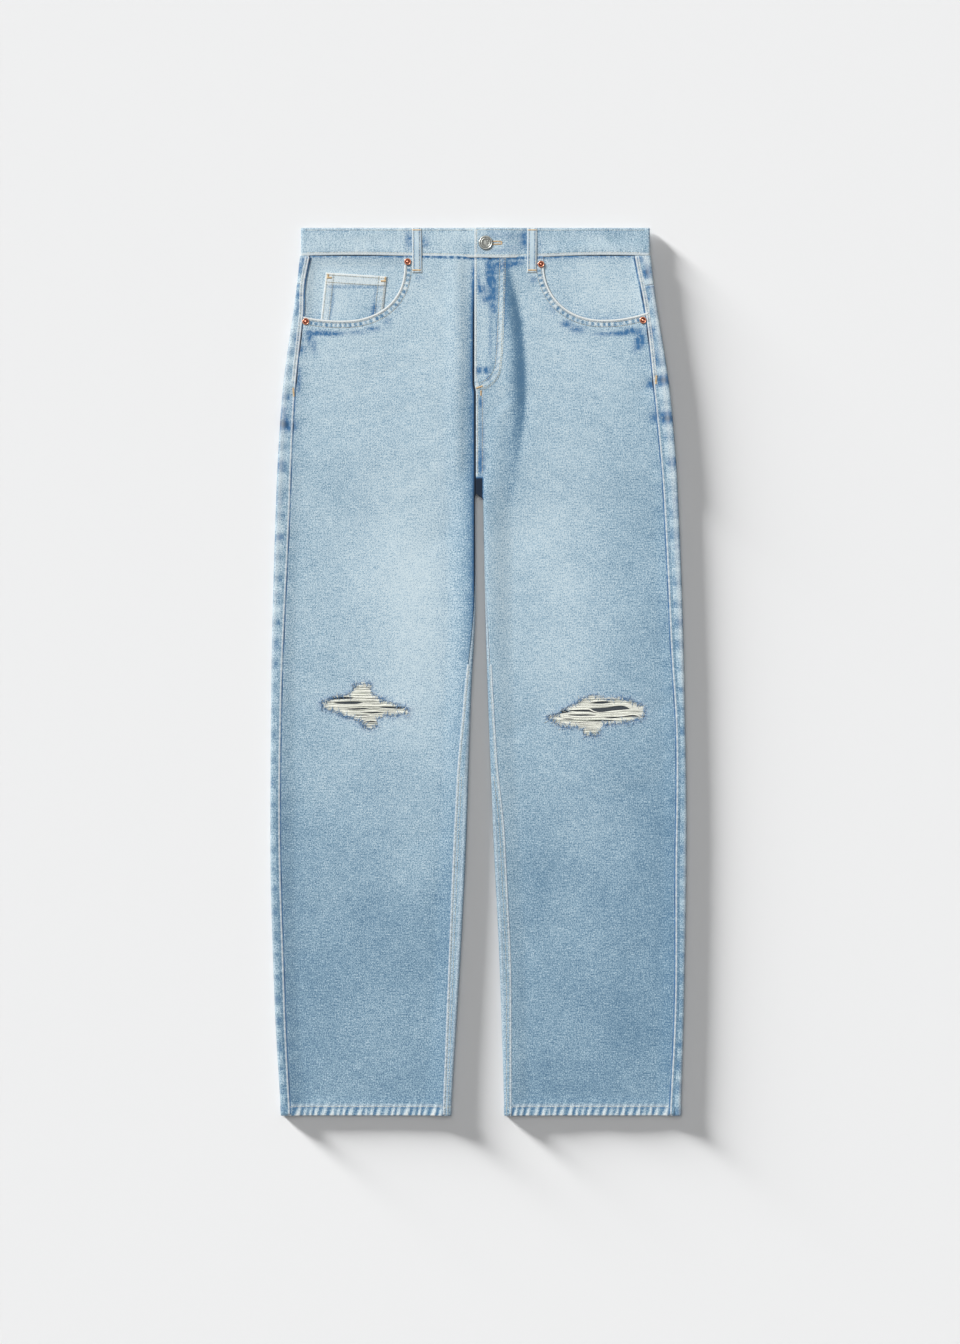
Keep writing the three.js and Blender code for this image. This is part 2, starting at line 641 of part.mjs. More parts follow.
for (const [name, side] of Object.entries(SIDES)) {
  addPiece(`front_${name}`, frontPanel(side, RIPS[name]), DENIM_LOOK);
  addPiece(`rip_threads_${name}`, ripThreads(RIPS[name]), { color: 0xe6e2d8, roughness: 0.95 });
  addPiece(`back_${name}`, backPanel(side), { color: 0x92b0c3, roughness: 0.9 });
  addPiece(`yoke_${name}`, yoke(side), { color: 0x8fadc2, roughness: 0.9 });
  addPiece(`hip_facing_${name}`, hipFacing(side), INNER_DENIM_LOOK);
  addPiece(`back_pocket_${name}`, backPocket(side.sign), { color: 0x9ab7c8, roughness: 0.9 });
  addPiece(`belt_loop_front_${name}`, frontLoop(side), { color: 0xabc5d4, roughness: 0.9 });
  addPiece(`belt_loop_back_${name}`, backLoop(side.sign * 150), { color: 0xabc5d4, roughness: 0.9 });
  side.rivets.forEach((place, i) => {
    const which = i === 0 ? "upper" : "lower";
    const look = { color: 0xa8744f, roughness: 0.38, metalness: 1 };
    addPiece(`rivet_${which}_${name}`, rivet(side, place), look);
  });
}
addPiece("belt_loop_back_centre", backLoop(0), { color: 0xabc5d4, roughness: 0.9 });
addPiece("coin_pocket", coinPocket(), { color: 0xb0c9d6, roughness: 0.9 });
addPiece("fly_underlap", flyUnderlap(), INNER_DENIM_LOOK);
addPiece("fly_zip", flyZip(), { color: 0x9b8a6a, roughness: 0.6 });
addPiece("waistband", waistband(), { color: 0xb3cbd9, roughness: 0.9 });
addPiece("button", button(), { color: 0x8d8f92, roughness: 0.32, metalness: 1 });

export default garment;
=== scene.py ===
import math
import bpy
import numpy as np
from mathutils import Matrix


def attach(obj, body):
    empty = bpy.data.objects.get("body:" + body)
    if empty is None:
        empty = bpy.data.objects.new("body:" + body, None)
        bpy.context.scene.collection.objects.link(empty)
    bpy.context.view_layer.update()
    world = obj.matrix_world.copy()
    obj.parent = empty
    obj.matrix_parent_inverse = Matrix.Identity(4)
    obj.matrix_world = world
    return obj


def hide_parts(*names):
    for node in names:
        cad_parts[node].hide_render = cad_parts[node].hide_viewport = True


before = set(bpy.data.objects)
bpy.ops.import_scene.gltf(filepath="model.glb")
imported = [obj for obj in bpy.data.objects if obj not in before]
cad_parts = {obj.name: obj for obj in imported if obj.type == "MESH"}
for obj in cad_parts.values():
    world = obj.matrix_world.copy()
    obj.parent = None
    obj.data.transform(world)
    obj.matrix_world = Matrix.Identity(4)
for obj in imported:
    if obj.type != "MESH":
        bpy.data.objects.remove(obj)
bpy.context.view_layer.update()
scene = bpy.context.scene

# ------------------------------------------------------------------ floor, light and camera
# The jeans lie on a pale matt board, seen from straight above. Soft lights come from the upper
# left, lower for the board than for the cloth, with one overhead and a pale surround.

bpy.ops.object.select_all(action="DESELECT")
bpy.ops.mesh.primitive_plane_add(size=8.0, location=(0, 0, 0))
floor = bpy.context.object
floor.name = "pale_board"
board = bpy.data.materials.new("pale_board")
board.use_nodes = True
board_shader = board.node_tree.nodes["Principled BSDF"]
board_shader.inputs["Base Color"].default_value = (0.82, 0.82, 0.82, 1)
board_shader.inputs["Roughness"].default_value = 0.95
floor.data.materials.append(board)

scene.view_settings.view_transform = "Standard"
scene.view_settings.look = "None"
surround = bpy.data.worlds.new("pale_surround")
surround.use_nodes = True
sky = surround.node_tree.nodes["Background"]
sky.inputs["Color"].default_value = (0.97, 0.985, 1.0, 1)
sky.inputs["Strength"].default_value = 0.25
scene.world = surround


def far_light(name, bearing, elevation, spread, strength, colour, board_state=None):
    """A light so far off that it is even over the board; bearing is where it comes from.

    board_state INCLUDE lights the board alone, and EXCLUDE lights everything but the board.
    """
    lamp = bpy.data.lights.new(name, "SUN")
    lamp.energy = strength
    lamp.angle = math.radians(spread)
    lamp.color = colour
    holder = bpy.data.objects.new(name, lamp)
    scene.collection.objects.link(holder)
    holder.rotation_euler = (math.radians(90 - elevation), 0, math.radians(bearing + 90))
    if board_state is not None:
        lit = bpy.data.collections.new(f"lit_by_{name}")
        lit.objects.link(floor)
        lit.collection_objects[0].light_linking.link_state = board_state
        holder.light_linking.receiver_collection = lit


far_light("board_key", 140, 5.5, 11, 20.2, (1.0, 1.0, 1.0), "INCLUDE")
far_light("cloth_key", 138, 44, 22, 2.62, (1.0, 0.99, 0.975), "EXCLUDE")
far_light("overhead", 120, 68, 50, 0.62, (1.0, 1.0, 1.0))

LENS = 85.0
SENSOR = 36.0
VIEW_HEIGHT = 1.6128
VIEW_MIDDLE = (0.0018, -0.0006)
FRONT_LEVEL = 0.005
camera_data = bpy.data.cameras.new("view_from_above")
camera_data.lens = LENS
camera_data.sensor_width = SENSOR
camera = bpy.data.objects.new("view_from_above", camera_data)
scene.collection.objects.link(camera)
camera.location = (*VIEW_MIDDLE, FRONT_LEVEL + VIEW_HEIGHT * LENS / SENSOR)
scene.camera = camera

# ------------------------------------------------------------------ back panels
# The two back legs lie underneath, light-blue right-hand twill, stone-washed and brushed. They
# are cut wider than the fronts, so they roll round both edges of each leg onto the top, and are
# sewn to the fronts at the side seam and the inseam. Garment sizes are in millimetres.

MM = 0.001
CLOTH = 1.15
SPREAD = ((-300, 300), (-600, 600))
RUN_START = -660
RUN_LENGTH = 1300.0


def smooth(t):
    c = np.clip(t, 0.0, 1.0)
    return c * c * (3 - 2 * c)


def bell(distance, width):
    return np.exp(-(distance / width) ** 2)


def through(knots, at):
    """A smooth curve through (position, value) knots, flat beyond both ends."""
    places = np.array([k[0] for k in knots], float)
    values = np.array([k[1] for k in knots], float)
    slopes = np.diff(values) / np.diff(places)
    inner = np.where(slopes[:-1] * slopes[1:] > 0,
                     2 * slopes[:-1] * slopes[1:] / (slopes[:-1] + slopes[1:] + 1e-12), 0.0)
    tangents = np.concatenate([[slopes[0]], inner, [slopes[-1]]])
    at = np.clip(np.asarray(at, float), places[0], places[-1])
    i = np.clip(np.searchsorted(places, at, side="right") - 1, 0, len(places) - 2)
    span = places[i + 1] - places[i]
    t = (at - places[i]) / span
    return ((2 * t**3 - 3 * t**2 + 1) * values[i] + (t**3 - 2 * t**2 + t) * span * tangents[i]
            + (3 * t**2 - 2 * t**3) * values[i + 1] + (t**3 - t**2) * span * tangents[i + 1])


def ripple(seed, pitch):
    """An uneven run of soft swells, about one each pitch, for puckers and slack cloth."""
    rng = np.random.default_rng(seed)
    count = int(RUN_LENGTH / pitch) + 4
    knots = np.cumsum(rng.uniform(0.65, 1.35, count)) * pitch + RUN_START
    levels = rng.uniform(0.35, 1.0, count) * np.where(np.arange(count) % 2, -1, 1)

    def level(at):
        i = np.clip(np.searchsorted(knots, at) - 1, 0, count - 2)
        t = smooth((at - knots[i]) / (knots[i + 1] - knots[i]))
        return levels[i] * (1 - t) + levels[i + 1] * t
    return level


def patchy(seed, size):
    """A soft field over the garment made of scattered round swells, from about -1 to 1."""
    rng = np.random.default_rng(seed)
    (x0, x1), (y0, y1) = SPREAD
    count = int((x1 - x0) * (y1 - y0) / size**2)
    xs, ys = rng.uniform(x0, x1, count), rng.uniform(y0, y1, count)
    signs = rng.choice([-1.0, 1.0], count)
    radii = rng.uniform(0.5, 1.0, count) * size

    def level(x, y):
        total = np.zeros_like(x, dtype=float)
        for cx, cy, sign, radius in zip(xs, ys, signs, radii):
            total += sign * np.exp(-((x - cx) ** 2 + (y - cy) ** 2) / radius**2)
        return np.clip(total, -1.3, 1.3)
    return level


def new_group(name, inputs, outputs):
    group = bpy.data.node_groups.new(name, "ShaderNodeTree")
    for label, kind, value in inputs:
        socket = group.interface.new_socket(label, in_out="INPUT", socket_type=kind)
        if value is not None:
            socket.default_value = value
    for label, kind in outputs:
        group.interface.new_socket(label, in_out="OUTPUT", socket_type=kind)
    return group, group.nodes.new("NodeGroupInput"), group.nodes.new("NodeGroupOutput")


def math_node(tree, operation, first, second=None, third=None):
    node = tree.nodes.new("ShaderNodeMath")
    node.operation = operation
    for socket, value in zip(node.inputs, (first, second, third)):
        if value is None:
            continue
        if isinstance(value, (int, float)):
            socket.default_value = value
        else:
            tree.links.new(value, socket)
    return node.outputs[0]


def noise_node(tree, vector, scale, detail=2.0, stretch=None, roughness=0.5):
    if stretch is not None:
        mapping = tree.nodes.new("ShaderNodeMapping")
        mapping.inputs["Scale"].default_value = stretch
        tree.links.new(vector, mapping.inputs["Vector"])
        vector = mapping.outputs[0]
    node = tree.nodes.new("ShaderNodeTexNoise")
    node.inputs["Scale"].default_value = scale
    node.inputs["Detail"].default_value = detail
    node.inputs["Roughness"].default_value = roughness
    tree.links.new(vector, node.inputs["Vector"])
    return node.outputs["Fac"]


def mix_colour(tree, share, first, second):
    node = tree.nodes.new("ShaderNodeMix")
    node.data_type = "RGBA"
    for socket, value in ((node.inputs[0], share), (node.inputs[6], first), (node.inputs[7], second)):
        if isinstance(value, (int, float, tuple)):
            socket.default_value = value
        else:
            tree.links.new(value, socket)
    return node.outputs[2]


def linear(red, green, blue):
    """A colour as it is seen, 0 to 255, as the light it reflects."""
    def channel(c):
        c /= 255
        return c / 12.92 if c <= 0.04045 else ((c + 0.055) / 1.055) ** 2.4
    return (channel(red), channel(green), channel(blue), 1.0)


def build_twill():
    """Washed twill: indigo warp worn to pale blue, ecru weft, uneven slubs and a cloudy wash."""
    group, feed, out = new_group(
        "washed_twill",
        [("Cut", "NodeSocketVector", None), ("Wash", "NodeSocketColor", None),
         ("Grain", "NodeSocketFloat", 1.0)],
        [("Color", "NodeSocketColor"), ("Height", "NodeSocketFloat"),
         ("Roughness", "NodeSocketFloat")])
    cut, grain = feed.outputs["Cut"], feed.outputs["Grain"]
    parts = group.nodes.new("ShaderNodeSeparateColor")
    group.links.new(feed.outputs["Wash"], parts.inputs[0])
    pale, blue, worn = parts.outputs[0], parts.outputs[1], parts.outputs[2]

    cloud = noise_node(group, cut, 16.0, 3.0)
    blotch = noise_node(group, cut, 75.0, 3.0, roughness=0.6)
    slub = noise_node(group, cut, 1.0, 2.0, stretch=(470.0, 75.0, 1.0))
    speck = noise_node(group, cut, 1.0, 2.0, stretch=(880.0, 540.0, 1.0), roughness=0.7)
    weft = noise_node(group, cut, 1.0, 1.0, stretch=(70.0, 900.0, 1.0))

    shade = math_node(group, "MULTIPLY_ADD", cloud, 0.30, -0.15)
    shade = math_node(group, "ADD", shade, math_node(group, "MULTIPLY_ADD", blotch, 0.26, -0.13))
    fine = math_node(group, "MULTIPLY_ADD", slub, 0.60, -0.30)
    fine = math_node(group, "ADD", fine, math_node(group, "MULTIPLY_ADD", speck, 3.4, -1.7))
    fine = math_node(group, "ADD", fine, math_node(group, "MULTIPLY_ADD", weft, 0.70, -0.35))
    fine = math_node(group, "MULTIPLY", fine, grain)
    shade = math_node(group, "ADD", shade, fine)
    level = math_node(group, "ADD", pale, shade)
    ramp = group.nodes.new("ShaderNodeValToRGB")
    ramp.color_ramp.interpolation = "LINEAR"
    stops = [(0.0, (84, 120, 148)), (0.25, (117, 149, 173)), (0.5, (150, 179, 197)),
             (0.75, (180, 203, 217)), (1.0, (208, 224, 231))]
    ramp.color_ramp.elements[0].position = stops[0][0]
    ramp.color_ramp.elements[0].color = linear(*stops[0][1])
    ramp.color_ramp.elements[1].position = stops[-1][0]
    ramp.color_ramp.elements[1].color = linear(*stops[-1][1])
    for place, colour in stops[1:-1]:
        ramp.color_ramp.elements.new(place).color = linear(*colour)
    group.links.new(level, ramp.inputs[0])

    torn_blue = noise_node(group, cut, 1.0, 3.0, stretch=(260.0, 150.0, 1.0), roughness=0.65)
    uneven = math_node(group, "MULTIPLY_ADD", torn_blue, 3.4, -0.7)
    kept = math_node(group, "MULTIPLY", blue, uneven)
    kept = math_node(group, "MULTIPLY_ADD", fine, -0.35, kept)
    kept = math_node(group, "MULTIPLY", kept, math_node(group, "GREATER_THAN", blue, 0.004))
    kept_node = group.nodes.new("ShaderNodeClamp")
    group.links.new(kept, kept_node.inputs[0])
    colour = mix_colour(group, kept_node.outputs[0], ramp.outputs[0], linear(62, 112, 158))
    deep = group.nodes.new("ShaderNodeClamp")
    group.links.new(math_node(group, "ADD", blue, -1.0), deep.inputs[0])
    colour = mix_colour(group, deep.outputs[0], colour, linear(26, 40, 58))
    rub = math_node(group, "MULTIPLY", worn, math_node(group, "MULTIPLY_ADD", speck, 1.2, 0.4))
    rub_node = group.nodes.new("ShaderNodeClamp")
    group.links.new(rub, rub_node.inputs[0])
    colour = mix_colour(group, rub_node.outputs[0], colour, linear(232, 235, 233))
    group.links.new(colour, out.inputs["Color"])

    ribs = group.nodes.new("ShaderNodeTexWave")
    ribs.wave_type = "BANDS"
    ribs.bands_direction = "DIAGONAL"
    ribs.inputs["Scale"].default_value = 210.0
    ribs.inputs["Distortion"].default_value = 1.2
    group.links.new(cut, ribs.inputs["Vector"])
    height = math_node(group, "MULTIPLY", ribs.outputs["Fac"], 0.25)
    height = math_node(group, "MULTIPLY_ADD", speck, 0.55, height)
    height = math_node(group, "MULTIPLY_ADD", slub, 0.55, height)
    group.links.new(height, out.inputs["Height"])
    rough = math_node(group, "MULTIPLY_ADD", speck, 0.15, 0.82)
    group.links.new(rough, out.inputs["Roughness"])
    return group


twill = build_twill()


def denim_material(name, grain=0.80, relief=0.55):
    material = bpy.data.materials.new(name)
    material.use_nodes = True
    tree = material.node_tree
    shader = tree.nodes["Principled BSDF"]
    shader.inputs["Sheen Weight"].default_value = 0.12
    shader.inputs["Sheen Roughness"].default_value = 0.6
    shader.inputs["Specular IOR Level"].default_value = 0.25
    weave = tree.nodes.new("ShaderNodeGroup")
    weave.node_tree = twill
    weave.inputs["Grain"].default_value = grain
    cut = tree.nodes.new("ShaderNodeUVMap")
    cut.uv_map = "cut"
    wash = tree.nodes.new("ShaderNodeVertexColor")
    wash.layer_name = "wash"
    tree.links.new(cut.outputs[0], weave.inputs["Cut"])
    tree.links.new(wash.outputs["Color"], weave.inputs["Wash"])
    tree.links.new(weave.outputs["Color"], shader.inputs["Base Color"])
    tree.links.new(weave.outputs["Roughness"], shader.inputs["Roughness"])
    bump = tree.nodes.new("ShaderNodeBump")
    bump.inputs["Strength"].default_value = relief
    bump.inputs["Distance"].default_value = 0.0006
    tree.links.new(weave.outputs["Height"], bump.inputs["Height"])
    tree.links.new(bump.outputs[0], shader.inputs["Normal"])
    return material


washed_denim = denim_material("washed_denim")

# The inner side of the back cloth, seen only through the torn knees: dark flecks, painted shade for the
# unlit inside of the leg, not the paler reverse of real denim.
reverse_painted_shade = bpy.data.materials.new("reverse_painted_shade")
reverse_painted_shade.use_nodes = True
reverse_tree = reverse_painted_shade.node_tree
reverse_cut = reverse_tree.nodes.new("ShaderNodeUVMap")
reverse_cut.uv_map = "cut"
flecks = noise_node(reverse_tree, reverse_cut.outputs[0], 500.0, 3.0, roughness=0.7)
fleck_colour = mix_colour(reverse_tree, flecks, linear(30, 36, 44), linear(84, 92, 98))
reverse_shader = reverse_tree.nodes["Principled BSDF"]
reverse_tree.links.new(fleck_colour, reverse_shader.inputs["Base Color"])
reverse_shader.inputs["Roughness"].default_value = 0.95


def weld_grid(name, points, uv, wash, outward=(0, 0, 1), keep=None, wall=CLOTH,
              look=washed_denim, reverse=None):
    """Makes a denim piece from a grid of outer-face points (rows, columns, xyz in millimetres).

    uv is the cloth's own flat place for each point, wash holds pale, blue and worn for each
    point, outward is the way its face looks, and keep marks the cells that are cloth. look is the
    material of its face, and reverse that of its inner side, where that can be seen.
    """
    rows, columns = points.shape[:2]
    index = np.arange(rows * columns).reshape(rows, columns)
    quads = np.stack([index[:-1, :-1], index[:-1, 1:], index[1:, 1:], index[1:, :-1]], axis=-1)
    if keep is not None:
        quads = quads[keep]
    quads = quads.reshape(-1, 4)
    flat = points.reshape(-1, 3)
    a, b, d = flat[quads[:, 0]], flat[quads[:, 1]], flat[quads[:, 3]]
    looks = np.broadcast_to(np.asarray(outward, float), points.shape).reshape(-1, 3)
    if np.sum(np.cross(b - a, d - a) * looks[quads[:, 0]]) < 0:
        quads = quads[:, ::-1]
    used, quads = np.unique(quads, return_inverse=True)
    quads = quads.reshape(-1, 4)
    mesh = bpy.data.meshes.new(name)
    mesh.from_pydata((flat[used] * MM).tolist(), [], quads.tolist())
    corner_uv = uv.reshape(-1, 2)[used][quads.ravel()] * MM
    layer = mesh.uv_layers.new(name="cut")
    layer.data.foreach_set("uv", corner_uv.ravel().astype(np.float32))
    paint = mesh.color_attributes.new("wash", "FLOAT_COLOR", "POINT")
    rgba = np.ones((len(used), 4), np.float32)
    rgba[:, :3] = wash.reshape(-1, 3)[used]
    paint.data.foreach_set("color", rgba.ravel())
    mesh.polygons.foreach_set("use_smooth", np.ones(len(quads), bool))
    piece = bpy.data.objects.new(name, mesh)
    scene.collection.objects.link(piece)
    bpy.ops.object.select_all(action="DESELECT")
    piece.select_set(True)
    bpy.context.view_layer.objects.active = piece
    shell = piece.modifiers.new("wall", "SOLIDIFY")
    shell.thickness = wall * MM
    shell.offset = -1
    shell.use_even_offset = False
    piece.data.materials.append(look)
    if reverse is not None:
        piece.data.materials.append(reverse)
        shell.material_offset = 1
    bpy.ops.object.modifier_apply(modifier="wall")
    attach(piece, "root")
    return piece


# Sections across the legs are worked out from their outline, with the folds as half rounds. X is
# counted outwards from the centre line. Each side is given by curves of (height, value): the outer
# and inner edges of the leg, how far in from the outer edge its side seam lies, how far round the
# inner edge its inseam lies, then the front's inner end above the crotch and the trough beside it.
# The scoop is the pocket opening: middle, half width, top, depth, roundness, rise and run.

FOLD = 3.1
CROTCH_FOLD = 4.0
HALF_WALL = 0.6
HALF_GAP = 0.15
HEM_Y = -532.8
HEM_DEPTH = 11.0
HEM_WALL = 2.2
CROTCH_Y = 206.0
SEAT_START = 214.0
BAND_LOW = 499.0
BAND_TOP = 532.2
SEAT_LIFT = 1.4
UNDER_REST = 0.6
LEG_REST = 2.4
SEAT_REST = 6.5
FLY_EDGE = -4.8
YOKE_CENTRE = 430.0
YOKE_SIDE = 465.0
YOKE_REACH = 215.0

LEFT = {
    "name": "left", "sign": -1,
    "outer": [(-532.8, 237), (-394, 245), (-200, 250), (-34, 249), (206, 243), (326, 236),
              (464, 218), (532, 211)],
    "inner": [(-532.8, 33), (-334, 21), (-214, 15), (-34, 9), (86, 3.6), (206, 4.2)],
    "side_inset": [(-532.8, 10.5), (-334, 12.2), (-130, 11.2), (-34, 12), (206, 16.2),
                   (326, 14.6), (423, 12), (464, 8.5), (499, 11.5)],
    "inseam": [(-532.8, 9.6), (-334, 13.8), (-226, 15), (-130, 13.5), (-34, 8.4), (120, 1.5),
               (206, -1.2)],
    "centre_edge": [(214, 3.35), (334, 3.35), (346, 0), (499, 0)],
    "centre_height": [(214, 2.7), (238, 3.9), (334, 5.0), (499, 5.0)],
    "valley_start": [(214, 0), (334, 2), (346, 5), (499, 5)],
    "valley_width": [(214, 20), (334, 20), (346, 18), (499, 18)],
    "roll": 1.4,
    "scoop": (165.0, 76.1, 487.0, 66.4, 2.25, 3.8, 40.0),
    "facing_drop": 3.0,
    "loop_x": -74.2,
}
RIGHT = {
    "name": "right", "sign": 1,
    "outer": [(-532.8, 243), (-394, 247.2), (-180, 250), (-34, 247.8), (206, 240), (326, 231),
              (464, 210.6), (532, 203.4)],
    "inner": [(-532.8, 31.2), (-334, 24.6), (-214, 18.6), (-34, 11.4), (86, 7.8), (206, 5.4)],
    "side_inset": [(-532.8, 13), (-394, 11), (-226, 13), (-76, 11), (38, 15), (206, 17),
                   (326, 18.5), (437, 14.5), (499, 19)],
    "inseam": [(-532.8, 7.8), (-454, 10.2), (-334, 13.2), (-202, 13.2), (-106, 7.8), (60, 4),
               (206, -1.2)],
    "centre_edge": [(214, -3.05), (334, -3.05), (346, FLY_EDGE), (499, FLY_EDGE)],
    "centre_height": [(214, 3.3), (238, 4.4), (334, 7.2), (346, 8.0), (499, 8.2)],
    "valley_start": [(214, 0), (300, 4), (346, 36), (499, 34)],
    "valley_width": [(214, 18), (300, 20), (346, 26), (499, 26)],
    "roll": 0.8,
    "scoop": (150.0, 72.0, 490.0, 68.3, 2.15, 5.9, 43.3),
    "facing_drop": 1.5,
    "loop_x": 64.4,
}

# Soft troughs (negative) and ridges across the front: end points, half width and height.
CREASES = [
    ((34, 486), (41, 392), 7.0, 0.9), ((41, 392), (38, 318), 8.0, 0.6),
    ((50, 470), (56, 392), 8.0, -1.1), ((56, 392), (56, 318), 8.0, -1.0),
    ((56, 318), (48, 256), 9.0, -0.7), ((-24, 470), (-21, 330), 9.0, 0.5),
    ((-62, 402), (-150, 386), 6.0, -0.30), ((-40, 372), (-140, 352), 7.0, -0.30),
    ((-30, 322), (-130, 300), 8.0, -0.28), ((70, 372), (150, 360), 7.0, -0.28),
    ((64, 330), (160, 318), 8.0, -0.26), ((60, 284), (150, 262), 9.0, -0.24),
    ((-232, 336), (-196, 322), 7.0, -0.8), ((-236, 318), (-204, 300), 8.0, 0.5),
    ((226, 352), (190, 336), 7.0, -0.9), ((228, 330), (196, 312), 8.0, 0.6),
    ((-16, 190), (-70, 140), 13.0, -0.6), ((20, 190), (74, 146), 13.0, -0.6),
    ((-14, 238), (-60, 218), 10.0, -0.4), ((16, 244), (66, 220), 10.0, -0.4),
    ((-205, -42), (-232, -30), 9.0, -0.7), ((-78, -48), (-30, -64), 10.0, -0.6),
    ((76, -56), (34, -74), 10.0, -0.6), ((206, -48), (236, -34), 9.0, -0.7),
    ((-226, -150), (-170, -172), 12.0, -0.6), ((-40, -190), (-96, -214), 12.0, -0.5),
    ((222, -130), (160, -150), 12.0, -0.6), ((40, -230), (100, -252), 12.0, -0.5),
    ((-222, -330), (-160, -352), 13.0, -0.5), ((226, -330), (170, -346), 13.0, -0.5),
]

slack = patchy(5, 95)
small_slack = patchy(11, 34)
side_pucker = ripple(3, 13.0)
inner_pucker = ripple(8, 15.0)


def thickness(y):
    return np.where(y <= HEM_Y + HEM_DEPTH, HEM_WALL, CLOTH)


def bottom_height(y):
    return UNDER_REST + SEAT_LIFT * smooth((y - CROTCH_Y) / 32)


def inner_fold(y):
    return FOLD + (CROTCH_FOLD - FOLD) * smooth((y + 40) / 200)


def outer_centre(side, y):
    return through(side["outer"], y) - HALF_WALL - FOLD


def inner_centre(side, y):
    return through(side["inner"], y) + HALF_WALL + inner_fold(y)


def creases(x, y):
    rise = np.zeros_like(x)
    for (x0, y0), (x1, y1), width, height in CREASES:
        dx, dy = x1 - x0, y1 - y0
        along = ((x - x0) * dx + (y - y0) * dy) / (dx * dx + dy * dy)
        near = np.clip(along, 0, 1)
        off = np.hypot(x - x0 - near * dx, y - y0 - near * dy)
        fade = smooth((near + 0.02) / 0.25) * smooth((1.02 - near) / 0.25)
        rise += height * np.exp(-(off / width) ** 2) * (0.35 + 0.65 * fade)
    return rise


def front_height(side, y, X):
    """Middle of the upper layer of cloth, before seams and puckers."""
    y, X = np.broadcast_arrays(np.asarray(y, float), np.asarray(X, float))
    hem = 1.2 * smooth((HEM_Y + HEM_DEPTH + 14 - y) / 14)
    rest = LEG_REST + hem + (SEAT_REST - LEG_REST) * smooth((y - 150) / 130)
    fold_x = outer_centre(side, y)
    top = bottom_height(y) + 2 * FOLD
    height = rest + (top - rest) * (1 - smooth((fold_x - X) / 28))
    radius = inner_fold(y)
    inner_x = inner_centre(side, y)
    inner_top = bottom_height(y) + 2 * radius
    leg = height + (inner_top - rest) * (1 - smooth((X - inner_x) / (24 + radius * 2)))
    turned = np.clip((inner_x - X) / radius, 0, 1) * smooth((y - CROTCH_Y) / 3)
    leg = leg - radius * (1 - np.sqrt(1 - 0.98 * turned**2))
    reach = X - through(side["centre_edge"], y)
    edge = through(side["centre_height"], y)
    start, width = through(side["valley_start"], y), through(side["valley_width"], y)
    rolled = height + side["roll"] * np.sin(np.pi * smooth((reach - start) / 46)) ** 2
    seat = edge + (rolled - edge) * smooth((reach - start) / width)
    share = smooth((y - CROTCH_Y) / 46)
    base = leg * (1 - share) + seat * share
    x = side["sign"] * X
    clear = smooth((reach - 4) / 12) * smooth((fold_x + 2 - X) / 10)
    loose = 0.45 * slack(x, y) + 0.22 * small_slack(x, y)
    return base + clear * (creases(x, y) + loose * smooth((500 - y) / 60))


def outer_walk(side, y, s):
    """Round the outer edge: s is 0 at the outermost point and grows upwards onto the top."""
    quarter = FOLD * math.pi / 2
    centre = outer_centre(side, y)
    angle = np.clip(s, -quarter, quarter) / FOLD
    X = centre + FOLD * np.cos(angle) - np.maximum(s - quarter, 0) + np.minimum(s + quarter, 0)
    z = bottom_height(y) + FOLD + FOLD * np.sin(angle)
    return X, np.where(s > quarter, front_height(side, y, X), z)


def inner_walk(side, y, s):
    """Round the inner thigh: s is 0 at the innermost point and grows upwards onto the top."""
    radius = inner_fold(y)
    quarter = radius * math.pi / 2
    centre = inner_centre(side, y)
    angle = np.clip(s, -quarter, quarter) / radius
    X = centre - radius * np.cos(angle) + np.maximum(s - quarter, 0) - np.minimum(s + quarter, 0)
    z = bottom_height(y) + radius + radius * np.sin(angle)
    return X, np.where(s > quarter, front_height(side, y, X), z)


def outer_faces(y, X, z):
    """Moves the middle of the cloth out by half its wall, across the section."""
    dX = np.gradient(X, axis=1)
    dz = np.gradient(z, axis=1)
    length = np.hypot(dX, dz) + 1e-9
    half = thickness(y) / 2
    nX, nz = -dz / length, dX / length
    return X + nX * half, z + nz * half, nX, nz


def side_seam_x(side, y):
    return through(side["outer"], y) - through(side["side_inset"], y)


def pucker_level(side, y):
    """How drawn up the cloth is along a side seam; each side has its own run of puckers."""
    return side_pucker(y + 40 * side["sign"])


def pucker_along(side, y, from_seam):
    """Puckers drawn up by the side seam, dying away over the cloth beside it."""
    return 0.32 * pucker_level(side, y) * np.exp(-np.abs(from_seam) / 9.0)


big_cloud = patchy(21, 70)


